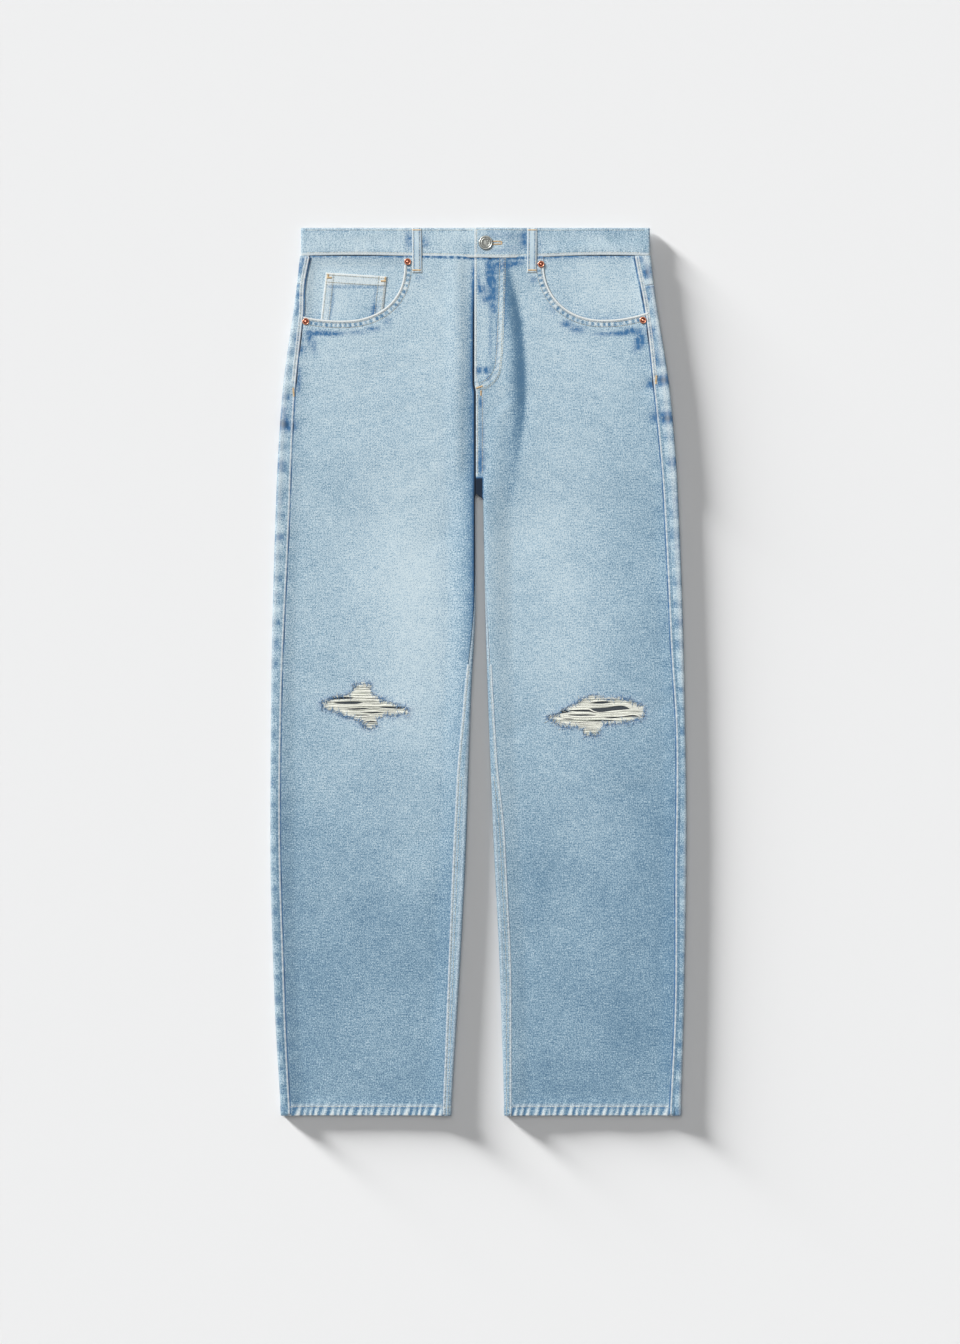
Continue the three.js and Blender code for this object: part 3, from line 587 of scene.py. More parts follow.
def wash_and_shade_tone(x, y):
    """How pale the brushed front is: high on the thighs and darker down the calves, with painted shade
    darkening the right leg, both outer edges and the left leg's inner edge.
    """
    X = np.abs(x)
    right = smooth((x + 4) / 8)
    side_level = through([(-532, 0.30), (-400, 0.31), (-250, 0.38), (-150, 0.47), (-60, 0.55),
                          (0, 0.60), (100, 0.63), (200, 0.64), (300, 0.67), (420, 0.71),
                          (532, 0.71)], y)
    lift = through([(-532, 0.02), (-400, 0.04), (-250, 0.06), (-150, 0.12), (-60, 0.20),
                    (0, 0.26), (120, 0.27), (220, 0.20), (320, 0.11), (420, 0.08),
                    (532, 0.05)], y)
    centre = 84 + 10 * right
    width = 64 - 8 * right
    tone = side_level + lift * (1 - 0.20 * right) * np.exp(-((X - centre) / width) ** 2)
    # Painted shade: the right leg is made darker over the thigh and knee, and a little all over, for
    # light falling from the left.
    tone = tone - right * 0.09 * smooth((400 - y) / 220) * smooth((y + 300) / 200)
    tone = tone - right * 0.045
    tone = tone + right * 0.13 * np.exp(-((X - 30) / 26.0) ** 2) * smooth((200 - y) / 60)
    # Painted shade along both outer edges, where the cloth rolls away.
    tone = tone - 0.08 * np.exp(-((X - 236) / 20.0) ** 2)
    # Painted shade along the left leg's inner edge below the seat, where the cloth rolls under.
    tone = tone - (1 - right) * 0.07 * np.exp(-((X - 22) / 22.0) ** 2) * smooth((300 - y) / 120)
    return tone + 0.04 * big_cloud(x, y)


def blue_patch(x, y, spots):
    """Where puckers and thick seams shielded the cloth from the stone wash.

    A spot is (x, y, reach across, reach up and down, strength).
    """
    amount = np.zeros_like(x)
    for cx, cy, rx, ry, strength in spots:
        amount += strength * np.exp(-((x - cx) / rx) ** 2 - ((y - cy) / ry) ** 2)
    return amount


SIDE_SPOTS = [
    (-236, 298, 8, 9, 1.00), (-226, 294, 9, 6, 0.85), (-234, 312, 6, 5, 0.7), (-231, 328, 6, 4, 0.6),
    (-238, 250, 6, 6, 0.55), (-216, 398, 5, 8, 0.80), (-213, 385, 7, 5, 0.55),
    (-216, 438, 4, 5, 0.65), (-214, 452, 4, 3, 0.65), (-214, 488, 5, 8, 0.65), (-204, 494, 6, 4, 0.8),
    (-240, 205, 5, 6, 0.50), (-240, 160, 5, 5, 0.45), (-243, 92, 5, 5, 0.40), (-243, 30, 5, 5, 0.4),
    (-216, 350, 3, 14, 0.75), (-222, 318, 3, 8, 0.6),
    (222, 350, 8, 7, 1.00), (208, 344, 7, 6, 0.75), (228, 304, 8, 8, 1.00), (214, 306, 8, 8, 0.70),
    (206, 405, 4, 8, 0.80), (194, 396, 6, 6, 0.70), (202, 447, 5, 3, 0.80), (208, 410, 5, 6, 0.5),
    (202, 478, 4, 9, 0.95), (206, 468, 4, 5, 0.8), (194, 494, 4, 5, 0.7), (214, 380, 4, 10, 0.45),
    (234, 250, 6, 7, 0.60), (237, 205, 5, 6, 0.50), (240, 150, 5, 6, 0.45), (243, 60, 5, 6, 0.4),
]


def yoke_seam(X):
    """Height of the yoke's lower seam: it slants up from the centre back to the side."""
    return YOKE_CENTRE + (YOKE_SIDE - YOKE_CENTRE) * np.minimum(X / YOKE_REACH, 1)


def strip_wash(side, x, y):
    """Wash of the narrow strip of back cloth that rolls onto the top."""
    level = pucker_level(side, y)
    fine = ripple(30 + side["sign"], 5.5)(y)
    tone = through([(-532, 0.36), (-300, 0.41), (0, 0.52), (300, 0.63), (499, 0.67)], y)
    tone = tone + 0.20 * level + 0.08 * fine
    blue = 1.2 * blue_patch(x, y, SIDE_SPOTS) + 0.45 * np.clip(-level - 0.1, 0, 1)
    from_yoke = y - yoke_seam(side["sign"] * x)
    felled = smooth((from_yoke + 1) / 2) * smooth((9 - from_yoke) / 2)
    tone = tone + 0.22 * felled
    blue = blue * (1 - 0.8 * felled)
    blue = blue + 0.7 * bell(from_yoke + 2.5, 1.6)
    return tone, blue


def paint(tone, blue, worn):
    return np.stack(np.broadcast_arrays(tone, blue, worn), axis=-1)


STRIP_SHARES = np.array([1, 0.86, 0.72, 0.58, 0.44, 0.3, 0.15])
FOLD_TURNS = np.linspace(1, -1, 13)
UNDER_SHARES = np.linspace(0, 1, 32)[1:]
INNER_TURNS = np.linspace(0, 1, 20)[1:]


def back_grid(side, Y):
    """Places round the back cloth's section, from the side seam round and under to the inseam."""
    quarter = FOLD * math.pi / 2
    first = len(STRIP_SHARES)
    second = first + len(FOLD_TURNS)
    third = second + len(UNDER_SHARES)
    seam = quarter + through(side["side_inset"], Y[:, :first]) - HALF_WALL - FOLD
    strip_s = quarter + (seam - quarter) * STRIP_SHARES
    fold_s = np.repeat(FOLD_TURNS[None, :] * quarter, len(Y), axis=0)
    outer_x, outer_z = outer_walk(side, Y[:, :second], np.concatenate([strip_s, fold_s], axis=1))
    level_y = np.minimum(Y, CROTCH_Y)
    radius = inner_fold(level_y)
    first_inner = inner_centre(side, level_y)
    fold_x = outer_centre(side, Y[:, second:third])
    under_x = fold_x + (first_inner[:, second:third] - fold_x) * UNDER_SHARES
    under_z = bottom_height(Y[:, second:third])
    inner_y, inner_r = level_y[:, third:], radius[:, third:]
    inner_quarter = inner_r * math.pi / 2
    inseam = through(side["inseam"], inner_y) - HALF_GAP
    inner_s = -inner_quarter + (inseam + inner_quarter) * INNER_TURNS
    leg_x, leg_z = inner_walk(side, inner_y, inner_s)
    flat_x = first_inner[:, third:] + (HALF_GAP - first_inner[:, third:]) * INNER_TURNS
    opened = smooth((Y[:, third:] - CROTCH_Y) / 16)
    last_x = leg_x * (1 - opened) + flat_x * opened
    last_z = leg_z * (1 - opened) + bottom_height(Y[:, third:]) * opened
    X = np.concatenate([outer_x, under_x, last_x], axis=1)
    z = np.concatenate([outer_z, under_z, last_z], axis=1)
    return X, z


BACK_STEP = 2.6


def back_cloth(side, name, low, high, seam_low=None, seam_high=None):
    """A back piece between two levels; a slanting end follows seam_low or seam_high."""
    ys = low + (high - low) * np.linspace(0, 1, int((high - low) / BACK_STEP))
    columns = len(STRIP_SHARES) + len(FOLD_TURNS) + len(UNDER_SHARES) + len(INNER_TURNS)
    level = np.repeat(ys[:, None], columns, axis=1)
    Y = level
    X, z = back_grid(side, Y)
    for _ in range(2 if seam_low or seam_high else 0):
        lowest = seam_low(X) if seam_low else np.full_like(X, low)
        highest = seam_high(X) if seam_high else np.full_like(X, high)
        Y = lowest + (highest - lowest) * (level - low) / (high - low)
        X, z = back_grid(side, Y)
    fx, fz, nX, nz = outer_faces(Y, X, z)
    on_top = z > bottom_height(Y) + FOLD
    travelled = np.concatenate([np.zeros((len(ys), 1)),
                                np.cumsum(np.hypot(np.diff(X, axis=1), np.diff(z, axis=1)),
                                          axis=1)], axis=1)
    pucker = np.where(on_top, pucker_along(side, Y, travelled), 0) * smooth((18 - travelled) / 8)
    roping = 0.28 * np.sin((travelled + 0.9 * (Y - HEM_Y)) / 1.55) * bell(Y - HEM_Y - 2, 5)
    fx, fz = fx + nX * pucker, fz + nz * (pucker + roping * on_top)
    fz = np.maximum(fz, 0.0)
    x = side["sign"] * fx
    tone, blue = strip_wash(side, x, Y)
    under = smooth((travelled - 17) / 6)
    seat_fade = np.exp(-((x - side["sign"] * 118) / 70) ** 2 - ((Y - 330) / 90) ** 2)
    back_tone = 0.46 + 0.25 * seat_fade + 0.05 * patchy(41, 60)(x, Y)
    tone = tone * (1 - under) + back_tone * under
    worn = 0.55 * bell(travelled - 1.2, 1.6) + 0.30 * bell(travelled - 12, 2.5)
    from_end = travelled[:, -1:] - travelled
    felled = (Y < CROTCH_Y - 60) & (from_end < 14)
    rib = inner_pucker(Y * 1.7)
    tone = np.where(felled, 0.47 + 0.10 * rib * bell(from_end - 6, 6), tone)
    blue = np.where(felled, 0.16 * np.clip(rib, 0, 1), blue * (1 - under))
    worn = worn + np.where(felled, 0.30 * bell(from_end - 1.0, 1.3) + 0.22 * bell(from_end - 9, 2), 0)
    uv = np.stack([travelled + 700 * (side["sign"] > 0), Y + 2000], axis=-1)
    points = np.stack([x, Y, fz], axis=-1)
    looks = np.stack([side["sign"] * nX, np.zeros_like(nX), nz], axis=-1)
    # Its inner side takes the dark reverse material, painted shade for the inside of the leg.
    return weld_grid(name, points, uv, paint(tone, blue, worn), looks, reverse=reverse_painted_shade)


for side in (LEFT, RIGHT):
    name = side["name"]
    piece = back_cloth(side, f"denim_back_{name}", HEM_Y, YOKE_SIDE,
                       seam_high=lambda X: yoke_seam(X) - HALF_GAP)
    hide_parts(f"back_{name}")

# ------------------------------------------------------------------ yokes
# Two shallow pieces across the back under the waistband, one each side of the centre back seam.
# Their outer ends roll round onto the top beside the pocket facings.

YOKE_TOP = BAND_LOW - 2 * HALF_GAP
for side in (LEFT, RIGHT):
    name = side["name"]
    piece = back_cloth(side, f"denim_yoke_{name}", YOKE_CENTRE, YOKE_TOP,
                       seam_low=lambda X: yoke_seam(X) + HALF_GAP)
    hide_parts(f"yoke_{name}")

# ------------------------------------------------------------------ back pockets
# Two plain five-cornered patch pockets, pressed flat between the seat and the board.

POCKET_HALF = 76.0
POCKET_FOOT_HALF = 66
POCKET_TOP = 78
POCKET_POINT = -82
POCKET_MIDDLE = (116, 345)
POCKET_TILT = math.atan((YOKE_SIDE - YOKE_CENTRE) / YOKE_REACH)
for side in (LEFT, RIGHT):
    name = side["name"]
    u, v = np.meshgrid(np.linspace(-1, 1, 61), np.linspace(0, 1, 61))
    foot = POCKET_POINT + 20 * np.abs(u)
    py = foot + (POCKET_TOP - foot) * v
    widening = (POCKET_HALF - POCKET_FOOT_HALF) * np.clip((py + 62) / 140, 0, 1)
    px = u * (POCKET_FOOT_HALF + widening)
    turn = POCKET_TILT * side["sign"]
    x = side["sign"] * POCKET_MIDDLE[0] + px * math.cos(turn) - py * math.sin(turn)
    y = POCKET_MIDDLE[1] + px * math.sin(turn) + py * math.cos(turn)
    edge = np.minimum.reduce([POCKET_HALF - np.abs(px), POCKET_TOP - py, py - foot])
    z = 0.05 + 0.25 * np.exp(-edge / 1.2)
    hem_line = bell(py - 64, 1.5) + bell(edge - 2, 1.0) + bell(edge - 8, 1.0)
    tone = 0.55 + 0.1 * patchy(51, 40)(x, y) - 0.10 * hem_line
    worn = 0.5 * np.exp(-edge / 1.0)
    points = np.stack([x, y, z], axis=-1)
    piece = weld_grid(f"denim_back_pocket_{name}", points, np.stack([px + 90, py + 90], axis=-1),
                      paint(tone, 0.3 * bell(edge - 11, 3), worn), (0, 0, -1), wall=1.0)
    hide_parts(f"back_pocket_{name}")

# ------------------------------------------------------------------ pocket facings
# Denim pieces that close the hip pockets behind their curved openings. They are sewn into the
# side seam and the waistband, and pass under the front panels.


def facing_height(side, x, y):
    """Top of the facing: it drops behind the opening and rises to the seams it is sewn into."""
    X = side["sign"] * x
    to_seam = np.minimum((side_seam_x(side, y) - X) / 13, (BAND_LOW - y) / 15)
    drop = 1.0 + (side["facing_drop"] - 1.0) * smooth(to_seam)
    return front_height(side, y, X) - drop + HALF_WALL


def band_low(x):
    """The lower seam of the waistband dips a little towards the fly."""
    return BAND_LOW - 0.6 - 2.6 * bell(x - 24, 62) + 1.2 * bell(np.abs(x) - 150, 50)


FACING_TONE = 0.82
FACING_BELOW = 20
FACING_BESIDE = 8
for side in (LEFT, RIGHT):
    name = side["name"]
    centre, half_width, high, depth = side["scoop"][:4]
    ys = np.linspace(high - depth - FACING_BELOW, BAND_LOW - 0.4, 66)
    outer = side_seam_x(side, ys) - 0.4
    inner = centre - half_width - FACING_BESIDE
    share = np.linspace(0, 1, 76)
    X = outer[:, None] + (inner - outer[:, None]) * share
    Y = np.repeat(ys[:, None], len(share), axis=1)
    x = side["sign"] * X
    z = facing_height(side, x, Y)
    low_edge = np.clip(Y - (high - depth), 0, 200)
    tone = FACING_TONE + 0.05 * patchy(61, 36)(x, Y) - 0.16 * np.exp(-low_edge / 14)
    tone -= 0.12 * np.exp(-(BAND_LOW - Y) / 7)
    tone += 0.10 * bell(X - outer[:, None] + 2, 3)
    blue = 1.45 * np.exp(-np.abs(band_low(x) - Y) / 1.7) + 0.35 * np.exp(-low_edge / 5)
    points = np.stack([x, Y, z], axis=-1)
    piece = weld_grid(f"denim_hip_facing_{name}", points, np.stack([X, Y], axis=-1),
                      paint(tone, blue, 0 * tone))
    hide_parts(f"hip_facing_{name}")

# ------------------------------------------------------------------ coin pocket
# A small patch on the left facing, its top edge hemmed with two pale rows, its sides turned in,
# its foot running down behind the front panel.

COIN_CORNERS = ((-183.1, 478.8), (-109.9, 474.2), (-115.5, 424.0), (-190.5, 412.0))
COIN_HEM = 13.0
COIN_LIFT = 1.10
COIN_TOP = 2.3


def between_corners(corners, u, v):
    """Places between four corners (far left, far right, near right, near left)."""
    a, b, c, d = (np.array(corner, float) for corner in corners)
    return (d * (1 - u) + c * u) * (1 - v) + (a * (1 - u) + b * u) * v


def strands(name, lines, look, sides=4):
    """Joins many thin yarns into one piece; each line is (points in millimetres, radius, shade)."""
    lengths = {}
    for line in lines:
        lengths.setdefault(len(line[0]), []).append(line)
    turn = np.arange(sides) / sides * 2 * math.pi
    vertices, faces, shades, start = [], [], [], 0
    for count, members in lengths.items():
        places = np.array([member[0] for member in members], float)
        radii = np.array([member[1] for member in members], float)
        along = np.gradient(places, axis=1)
        along /= np.linalg.norm(along, axis=2, keepdims=True) + 1e-9
        across = np.stack([-along[..., 1], along[..., 0], 0 * along[..., 0]], axis=-1)
        across /= np.linalg.norm(across, axis=2, keepdims=True) + 1e-9
        upward = np.cross(across, along)
        ring = across[:, :, None] * np.cos(turn)[:, None] + upward[:, :, None] * np.sin(turn)[:, None]
        taper = np.ones(count)
        taper[0] = taper[-1] = 0.5
        body = places[:, :, None] + ring * (radii[:, None] * taper)[:, :, None, None]
        vertices.append(body.reshape(-1, 3))
        first = start + np.arange(len(members))[:, None, None] * count * sides
        step, j = np.meshgrid(np.arange(count - 1), np.arange(sides), indexing="ij")
        k = (j + 1) % sides
        corners = np.stack([step * sides + j, step * sides + k,
                            (step + 1) * sides + k, (step + 1) * sides + j], axis=-1)
        faces += (first[..., None] + corners[None]).reshape(-1, 4).tolist()
        faces += (first[:, :, 0] + np.arange(sides)[None, ::-1]).tolist()
        faces += (first[:, :, 0] + (count - 1) * sides + np.arange(sides)[None]).tolist()
        shades.append(np.repeat([member[2] for member in members], count * sides))
        start += len(members) * count * sides
    mesh = bpy.data.meshes.new(name)
    mesh.from_pydata((np.concatenate(vertices) * MM).tolist(), [], faces)
    layer = mesh.color_attributes.new("shade", "FLOAT_COLOR", "POINT")
    rgba = np.ones((start, 4), np.float32)
    rgba[:, :3] = np.concatenate(shades)[:, None]
    layer.data.foreach_set("color", rgba.ravel())
    mesh.polygons.foreach_set("use_smooth", np.ones(len(mesh.polygons), bool))
    yarn = bpy.data.objects.new(name, mesh)
    scene.collection.objects.link(yarn)
    yarn.data.materials.append(look)
    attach(yarn, "root")
    return yarn


def yarn_material(name, dark, light):
    """Cotton yarn: each thread has its own shade between two colours, with a fine twist."""
    material = bpy.data.materials.new(name)
    material.use_nodes = True
    tree = material.node_tree
    shader = tree.nodes["Principled BSDF"]
    shader.inputs["Roughness"].default_value = 0.85
    shader.inputs["Specular IOR Level"].default_value = 0.2
    places = tree.nodes.new("ShaderNodeTexCoord")
    shade = tree.nodes.new("ShaderNodeVertexColor")
    shade.layer_name = "shade"
    spin = noise_node(tree, places.outputs["Object"], 900.0, 2.0)
    level = math_node(tree, "MULTIPLY_ADD", spin, 0.5, -0.25)
    level = math_node(tree, "ADD", level, shade.outputs["Color"])
    limit = tree.nodes.new("ShaderNodeClamp")
    tree.links.new(level, limit.inputs[0])
    tree.links.new(mix_colour(tree, limit.outputs[0], dark, light), shader.inputs["Base Color"])
    bump = tree.nodes.new("ShaderNodeBump")
    bump.inputs["Strength"].default_value = 0.4
    bump.inputs["Distance"].default_value = 0.0002
    tree.links.new(spin, bump.inputs["Height"])
    tree.links.new(bump.outputs[0], shader.inputs["Normal"])
    return material


faded_thread = yarn_material("faded_thread", linear(158, 160, 152), linear(240, 234, 216))
tan_thread = yarn_material("tan_thread", linear(208, 170, 122), linear(240, 220, 184))


def even_places(path, step):
    """Evenly spaced places along a plan line, and the way to its left at each."""
    path = np.asarray(path, float)
    run = np.concatenate([[0], np.cumsum(np.hypot(*np.diff(path, axis=0).T))])
    at = np.linspace(0, run[-1], max(3, int(run[-1] / step)))
    middle = np.stack([np.interp(at, run, path[:, 0]), np.interp(at, run, path[:, 1])], axis=1)
    along = np.gradient(middle, axis=0)
    along /= np.hypot(along[:, 0], along[:, 1])[:, None]
    return at, middle, np.stack([-along[:, 1], along[:, 0]], axis=1)


def stitches(path, height, seed=1, shift=0.0, pitch=3.1, radius=0.34):
    """One row of sewing stitches along a plan line, shift millimetres to its left."""
    _, middle, left = even_places(path, 1.0)
    path = middle + left * shift
    run = np.concatenate([[0], np.cumsum(np.hypot(*np.diff(path, axis=0).T))])
    rng = np.random.default_rng(seed)
    starts = np.arange(0.3, run[-1] - pitch, pitch)
    at = starts[:, None] + np.array([0.04, 0.26, 0.62, 0.82]) * pitch
    x = np.interp(at, run, path[:, 0])
    y = np.interp(at, run, path[:, 1])
    z = height(x, y) + np.array([-0.15, 0.62, 0.62, -0.15]) * radius
    shade = rng.uniform(0.05, 1.0, len(starts))
    places = np.stack([x, y, z], axis=-1)
    return [(places[i], radius, shade[i]) for i in range(len(starts))]


def bartack(x, y, length, width, angle, height, seed=1):
    """A dense bar of thread; angle is the way it runs, in degrees from the +X axis."""
    rng = np.random.default_rng(seed)
    c, s = math.cos(math.radians(angle)), math.sin(math.radians(angle))
    lines = []
    for along in np.arange(-length / 2, length / 2, 0.52):
        across = np.array([-0.5, -0.2, 0.25, 0.5]) * width
        px, py = x + along * c - across * s, y + along * s + across * c
        pz = height(px, py) + np.array([-0.1, 0.45, 0.45, -0.1])
        lines.append((np.stack([px, py, pz], axis=-1), 0.31, rng.uniform(0.2, 1.0)))
    return lines


u, v = np.meshgrid(np.linspace(0, 1, 71), np.linspace(0, 1, 59))
plan = between_corners(COIN_CORNERS, u[..., None], v[..., None])
x, y = plan[..., 0], plan[..., 1]
from_top = (1 - v) * 58
from_side = np.minimum(u, 1 - u) * 74
edge = np.minimum(from_top, from_side)
z = facing_height(LEFT, x, y) + COIN_LIFT + 0.35 * smooth(edge / 1.4)
z += 0.28 * smooth((COIN_HEM - from_top) / 1.5) + 0.22 * smooth((9.5 - from_side) / 1.5)
z -= 0.22 * (bell(from_side - 10.5, 0.9) + bell(from_top - 14, 0.9) + bell(from_side - 2.0, 0.6))
ribs = ripple(71, 4.2)(x)
hem = smooth((COIN_HEM - from_top) / 1.2)
tone = 0.76 + 0.06 * patchy(72, 24)(x, y) - 0.16 * smooth((from_top - 44) / 14)
tone = tone * (1 - hem) + (0.88 + 0.10 * ribs) * hem
worn = 0.95 * np.exp(-(from_side / 1.3) ** 2) + 0.8 * np.exp(-(from_top / 1.3) ** 2) + 0.34 * hem
worn += 0.30 * smooth((9 - from_side) / 2) * (0.6 + 0.4 * ripple(73, 4.0)(y))
blue = 0.42 * bell(from_side - 11.5, 2.2) * smooth((from_top - 12) / 10)
blue += 0.50 * bell(from_top - 15, 1.8) * smooth((u - 0.02) / 0.05)
blue += 0.55 * bell(u - 0.86, 0.06) * smooth((from_top - 34) / 10)
piece = weld_grid("denim_coin_pocket", np.stack([x, y, z], axis=-1),
                  np.stack([x + 400, y], axis=-1), paint(tone, blue, worn))
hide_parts("coin_pocket")


def coin_top(x, y):
    return facing_height(LEFT, x, y) + COIN_TOP


far_left, far_right, near_right, near_left = (np.array(corner) for corner in COIN_CORNERS)
down_left = (near_left - far_left) / np.hypot(*(near_left - far_left))
down_right = (near_right - far_right) / np.hypot(*(near_right - far_right))
rows = []
for depth in (2.6, 11.4):
    ends = [far_left + down_left * depth, far_right + down_right * depth]
    rows += stitches(ends, coin_top, seed=int(depth * 10))
for inset in (2.0, 9.6):
    rows += stitches([far_left, near_left], coin_top, seed=int(inset * 7), shift=inset)
    rows += stitches([far_right, near_right], coin_top, seed=int(inset * 9), shift=-inset)
rows = [row for row in rows if row[0][0, 1] > 418]
sewing = strands("coin_pocket_stitching", rows, faded_thread)
bars = bartack(-179, 472.5, 6, 2.2, 0, coin_top, 5) + bartack(-114, 468.5, 6, 2.2, 0, coin_top, 6)
bars += bartack(-180.5, 475, 4, 2.0, 80, coin_top, 7) + bartack(-112, 470.5, 5, 2.0, 80, coin_top, 8)
tacks = strands("coin_pocket_bartacks", bars, tan_thread)

# ------------------------------------------------------------------ fly shield and zip
# The shield backs the fly; the closed zip, one flat run of tape and teeth, lies between the two.

x, y = np.meshgrid(np.linspace(-9, 29, 20), np.linspace(348, BAND_LOW - 0.4, 60))
z = np.full_like(x, 4.1)
piece = weld_grid("denim_fly_shield", np.stack([x, y, z], axis=-1), np.stack([x + 500, y], axis=-1),
                  paint(0.5 + 0 * x, 0.1, 0))
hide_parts("fly_underlap")

zip_cloth = bpy.data.materials.new("zip_tape")
zip_cloth.use_nodes = True
zip_tree = zip_cloth.node_tree
zip_shader = zip_tree.nodes["Principled BSDF"]
zip_places = zip_tree.nodes.new("ShaderNodeTexCoord")
zip_ribs = zip_tree.nodes.new("ShaderNodeTexWave")
zip_ribs.bands_direction = "Y"
zip_ribs.inputs["Scale"].default_value = 240.0
zip_tree.links.new(zip_places.outputs["Object"], zip_ribs.inputs["Vector"])
tape = mix_colour(zip_tree, zip_ribs.outputs["Fac"], linear(150, 132, 100), linear(176, 160, 130))
zip_tree.links.new(tape, zip_shader.inputs["Base Color"])
zip_shader.inputs["Roughness"].default_value = 0.7
zip_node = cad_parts["fly_zip"]
zip_node.data.materials.clear()
zip_node.data.materials.append(zip_cloth)

# ------------------------------------------------------------------ front panels
# Each is one piece of denim from the side seam to the inseam and fly, scooped out at the pocket
# and torn through at the knee. The right one carries the fly and laps over the left one.

SCOOP_TOP = 520.0
SCOOP_POINTS = 90


def scoop_edge(side):
    """The curved pocket opening, from the waistband down and out to the side seam."""
    centre, half_width, high, depth, power, rise, run = side["scoop"]
    angle = np.linspace(0, math.pi / 2, SCOOP_POINTS)
    curve_x = centre - half_width * np.cos(angle) ** (2 / power)
    curve_y = high - depth * np.sin(angle) ** (2 / power)
    tail = np.linspace(0, run * 1.7, SCOOP_POINTS // 2)[1:]
    X = np.concatenate([[curve_x[0]], curve_x, centre + tail])
    Y = np.concatenate([[SCOOP_TOP], curve_y, high - depth + rise * (tail / run) ** 2])
    return np.stack([side["sign"] * X, Y], axis=1)


RIP_OUTLINES = {
    "left": [(-189.5, -38), (-184, -32.5), (-170, -29.5), (-158, -27.5), (-153, -24), (-149.5, -16.5),
             (-142, -13), (-132.5, -13.6), (-127.4, -19), (-126, -27.5), (-112, -33), (-98, -40),
             (-85.5, -43), (-84, -48), (-84.6, -52.5), (-98, -53.4), (-112, -54), (-120, -58),
             (-121.6, -66.5), (-126, -68.6), (-136, -68.6), (-140, -66), (-143, -60.5),
             (-156, -57), (-170, -50.5), (-184, -45.5)],
    "right": [(80.4, -54), (90, -51), (104, -44), (110, -39.5), (118, -36.5), (126, -30.5),
              (136, -28), (146, -29.5), (155, -32.5), (168, -31.6), (179, -32), (190, -36.5),
              (198, -42), (201, -49), (199, -55.5), (188, -60), (174, -62), (160, -64.5),
              (148.5, -66), (146, -75), (140, -77.8), (128, -77.6), (124.5, -70),
              (114, -68), (98, -66.5), (88, -60)],
}


def closed_curve(points, per_side=6):
    """A smooth closed outline through the points."""
    p = np.array(points, float)
    out = []
    for i in range(len(p)):
        a, b, c, d = p[i - 1], p[i], p[(i + 1) % len(p)], p[(i + 2) % len(p)]
        for t in np.arange(per_side) / per_side:
            out.append(0.5 * (2 * b + (c - a) * t + (2 * a - 5 * b + 4 * c - d) * t * t
                              + (3 * b - a - 3 * c + d) * t**3))
    return np.array(out)


def torn_outline(name):
    """The rip's outline with its warp ends broken unevenly."""
    smooth_line = closed_curve(RIP_OUTLINES[name])
    rng = np.random.default_rng(101 if name == "left" else 102)
    jag = np.convolve(rng.normal(0, 1.1, len(smooth_line) + 2), [0.3, 0.5, 0.3], "valid")
    along = np.roll(smooth_line, -1, axis=0) - np.roll(smooth_line, 1, axis=0)
    along /= np.hypot(along[:, 0], along[:, 1])[:, None]
    across = np.stack([along[:, 1], -along[:, 0]], axis=1)
    return smooth_line + across * jag[:, None]


def outline_distance(outline, x, y, closed=True):
    """Distance to an outline, less than 0 inside it, and the nearest place on it."""
    a = outline
    b = np.roll(outline, -1, axis=0)
    if not closed:
        a, b = a[:-1], b[:-1]
    best = np.full(x.shape, 1e9)
    near_x, near_y = x.copy(), y.copy()
    inside = np.zeros(x.shape, bool)
    for (ax, ay), (bx, by) in zip(a, b):
        dx, dy = bx - ax, by - ay
        t = np.clip(((x - ax) * dx + (y - ay) * dy) / (dx * dx + dy * dy + 1e-12), 0, 1)
        px, py = ax + t * dx, ay + t * dy
        off = np.hypot(x - px, y - py)
        closer = off < best
        best = np.where(closer, off, best)
        near_x, near_y = np.where(closer, px, near_x), np.where(closer, py, near_y)
        crosses = ((ay > y) != (by > y)) & (x < (bx - ax) * (y - ay) / (by - ay + 1e-12) + ax)
        inside ^= crosses
    return np.where(inside, -best, best), near_x, near_y


def cut_hole(points, keep, outline, reach):
    """Trims a grid of cloth to an outline: points just inside it are drawn back onto it.

    Gives the cells that are left, and how far each point is from the outline.
    """
    x, y = points[..., 0], points[..., 1]
    low, high = outline.min(axis=0) - reach, outline.max(axis=0) + reach
    rows = np.where(((y > low[1]) & (y < high[1])).any(axis=1))[0]
    window = slice(rows[0], rows[-1] + 1)
    gap, near_x, near_y = outline_distance(outline, x[window], y[window])
    inside = np.zeros(x.shape, bool)
    inside[window] = gap < 0
    padded = np.pad(~inside, 1, constant_values=False)
    beside = np.zeros_like(inside)
    for i in (0, 1, 2):
        for j in (0, 1, 2):
            beside |= padded[i:i + x.shape[0], j:j + x.shape[1]]
    rim = inside & beside
    full_x, full_y = x.copy(), y.copy()
    full_x[window], full_y[window] = near_x, near_y
    points[..., 0] = np.where(rim, full_x, x)
    points[..., 1] = np.where(rim, full_y, y)
    gone = inside[:-1, :-1] & inside[:-1, 1:] & inside[1:, 1:] & inside[1:, :-1]
    distance = np.full(x.shape, 99.0)
    distance[window] = np.where(gap < 0, 0, gap)
    return keep & ~gone, distance


NEAR_STEP = 1.5
NEAR_LENGTH = 40.0
FAR_COLUMNS = 66


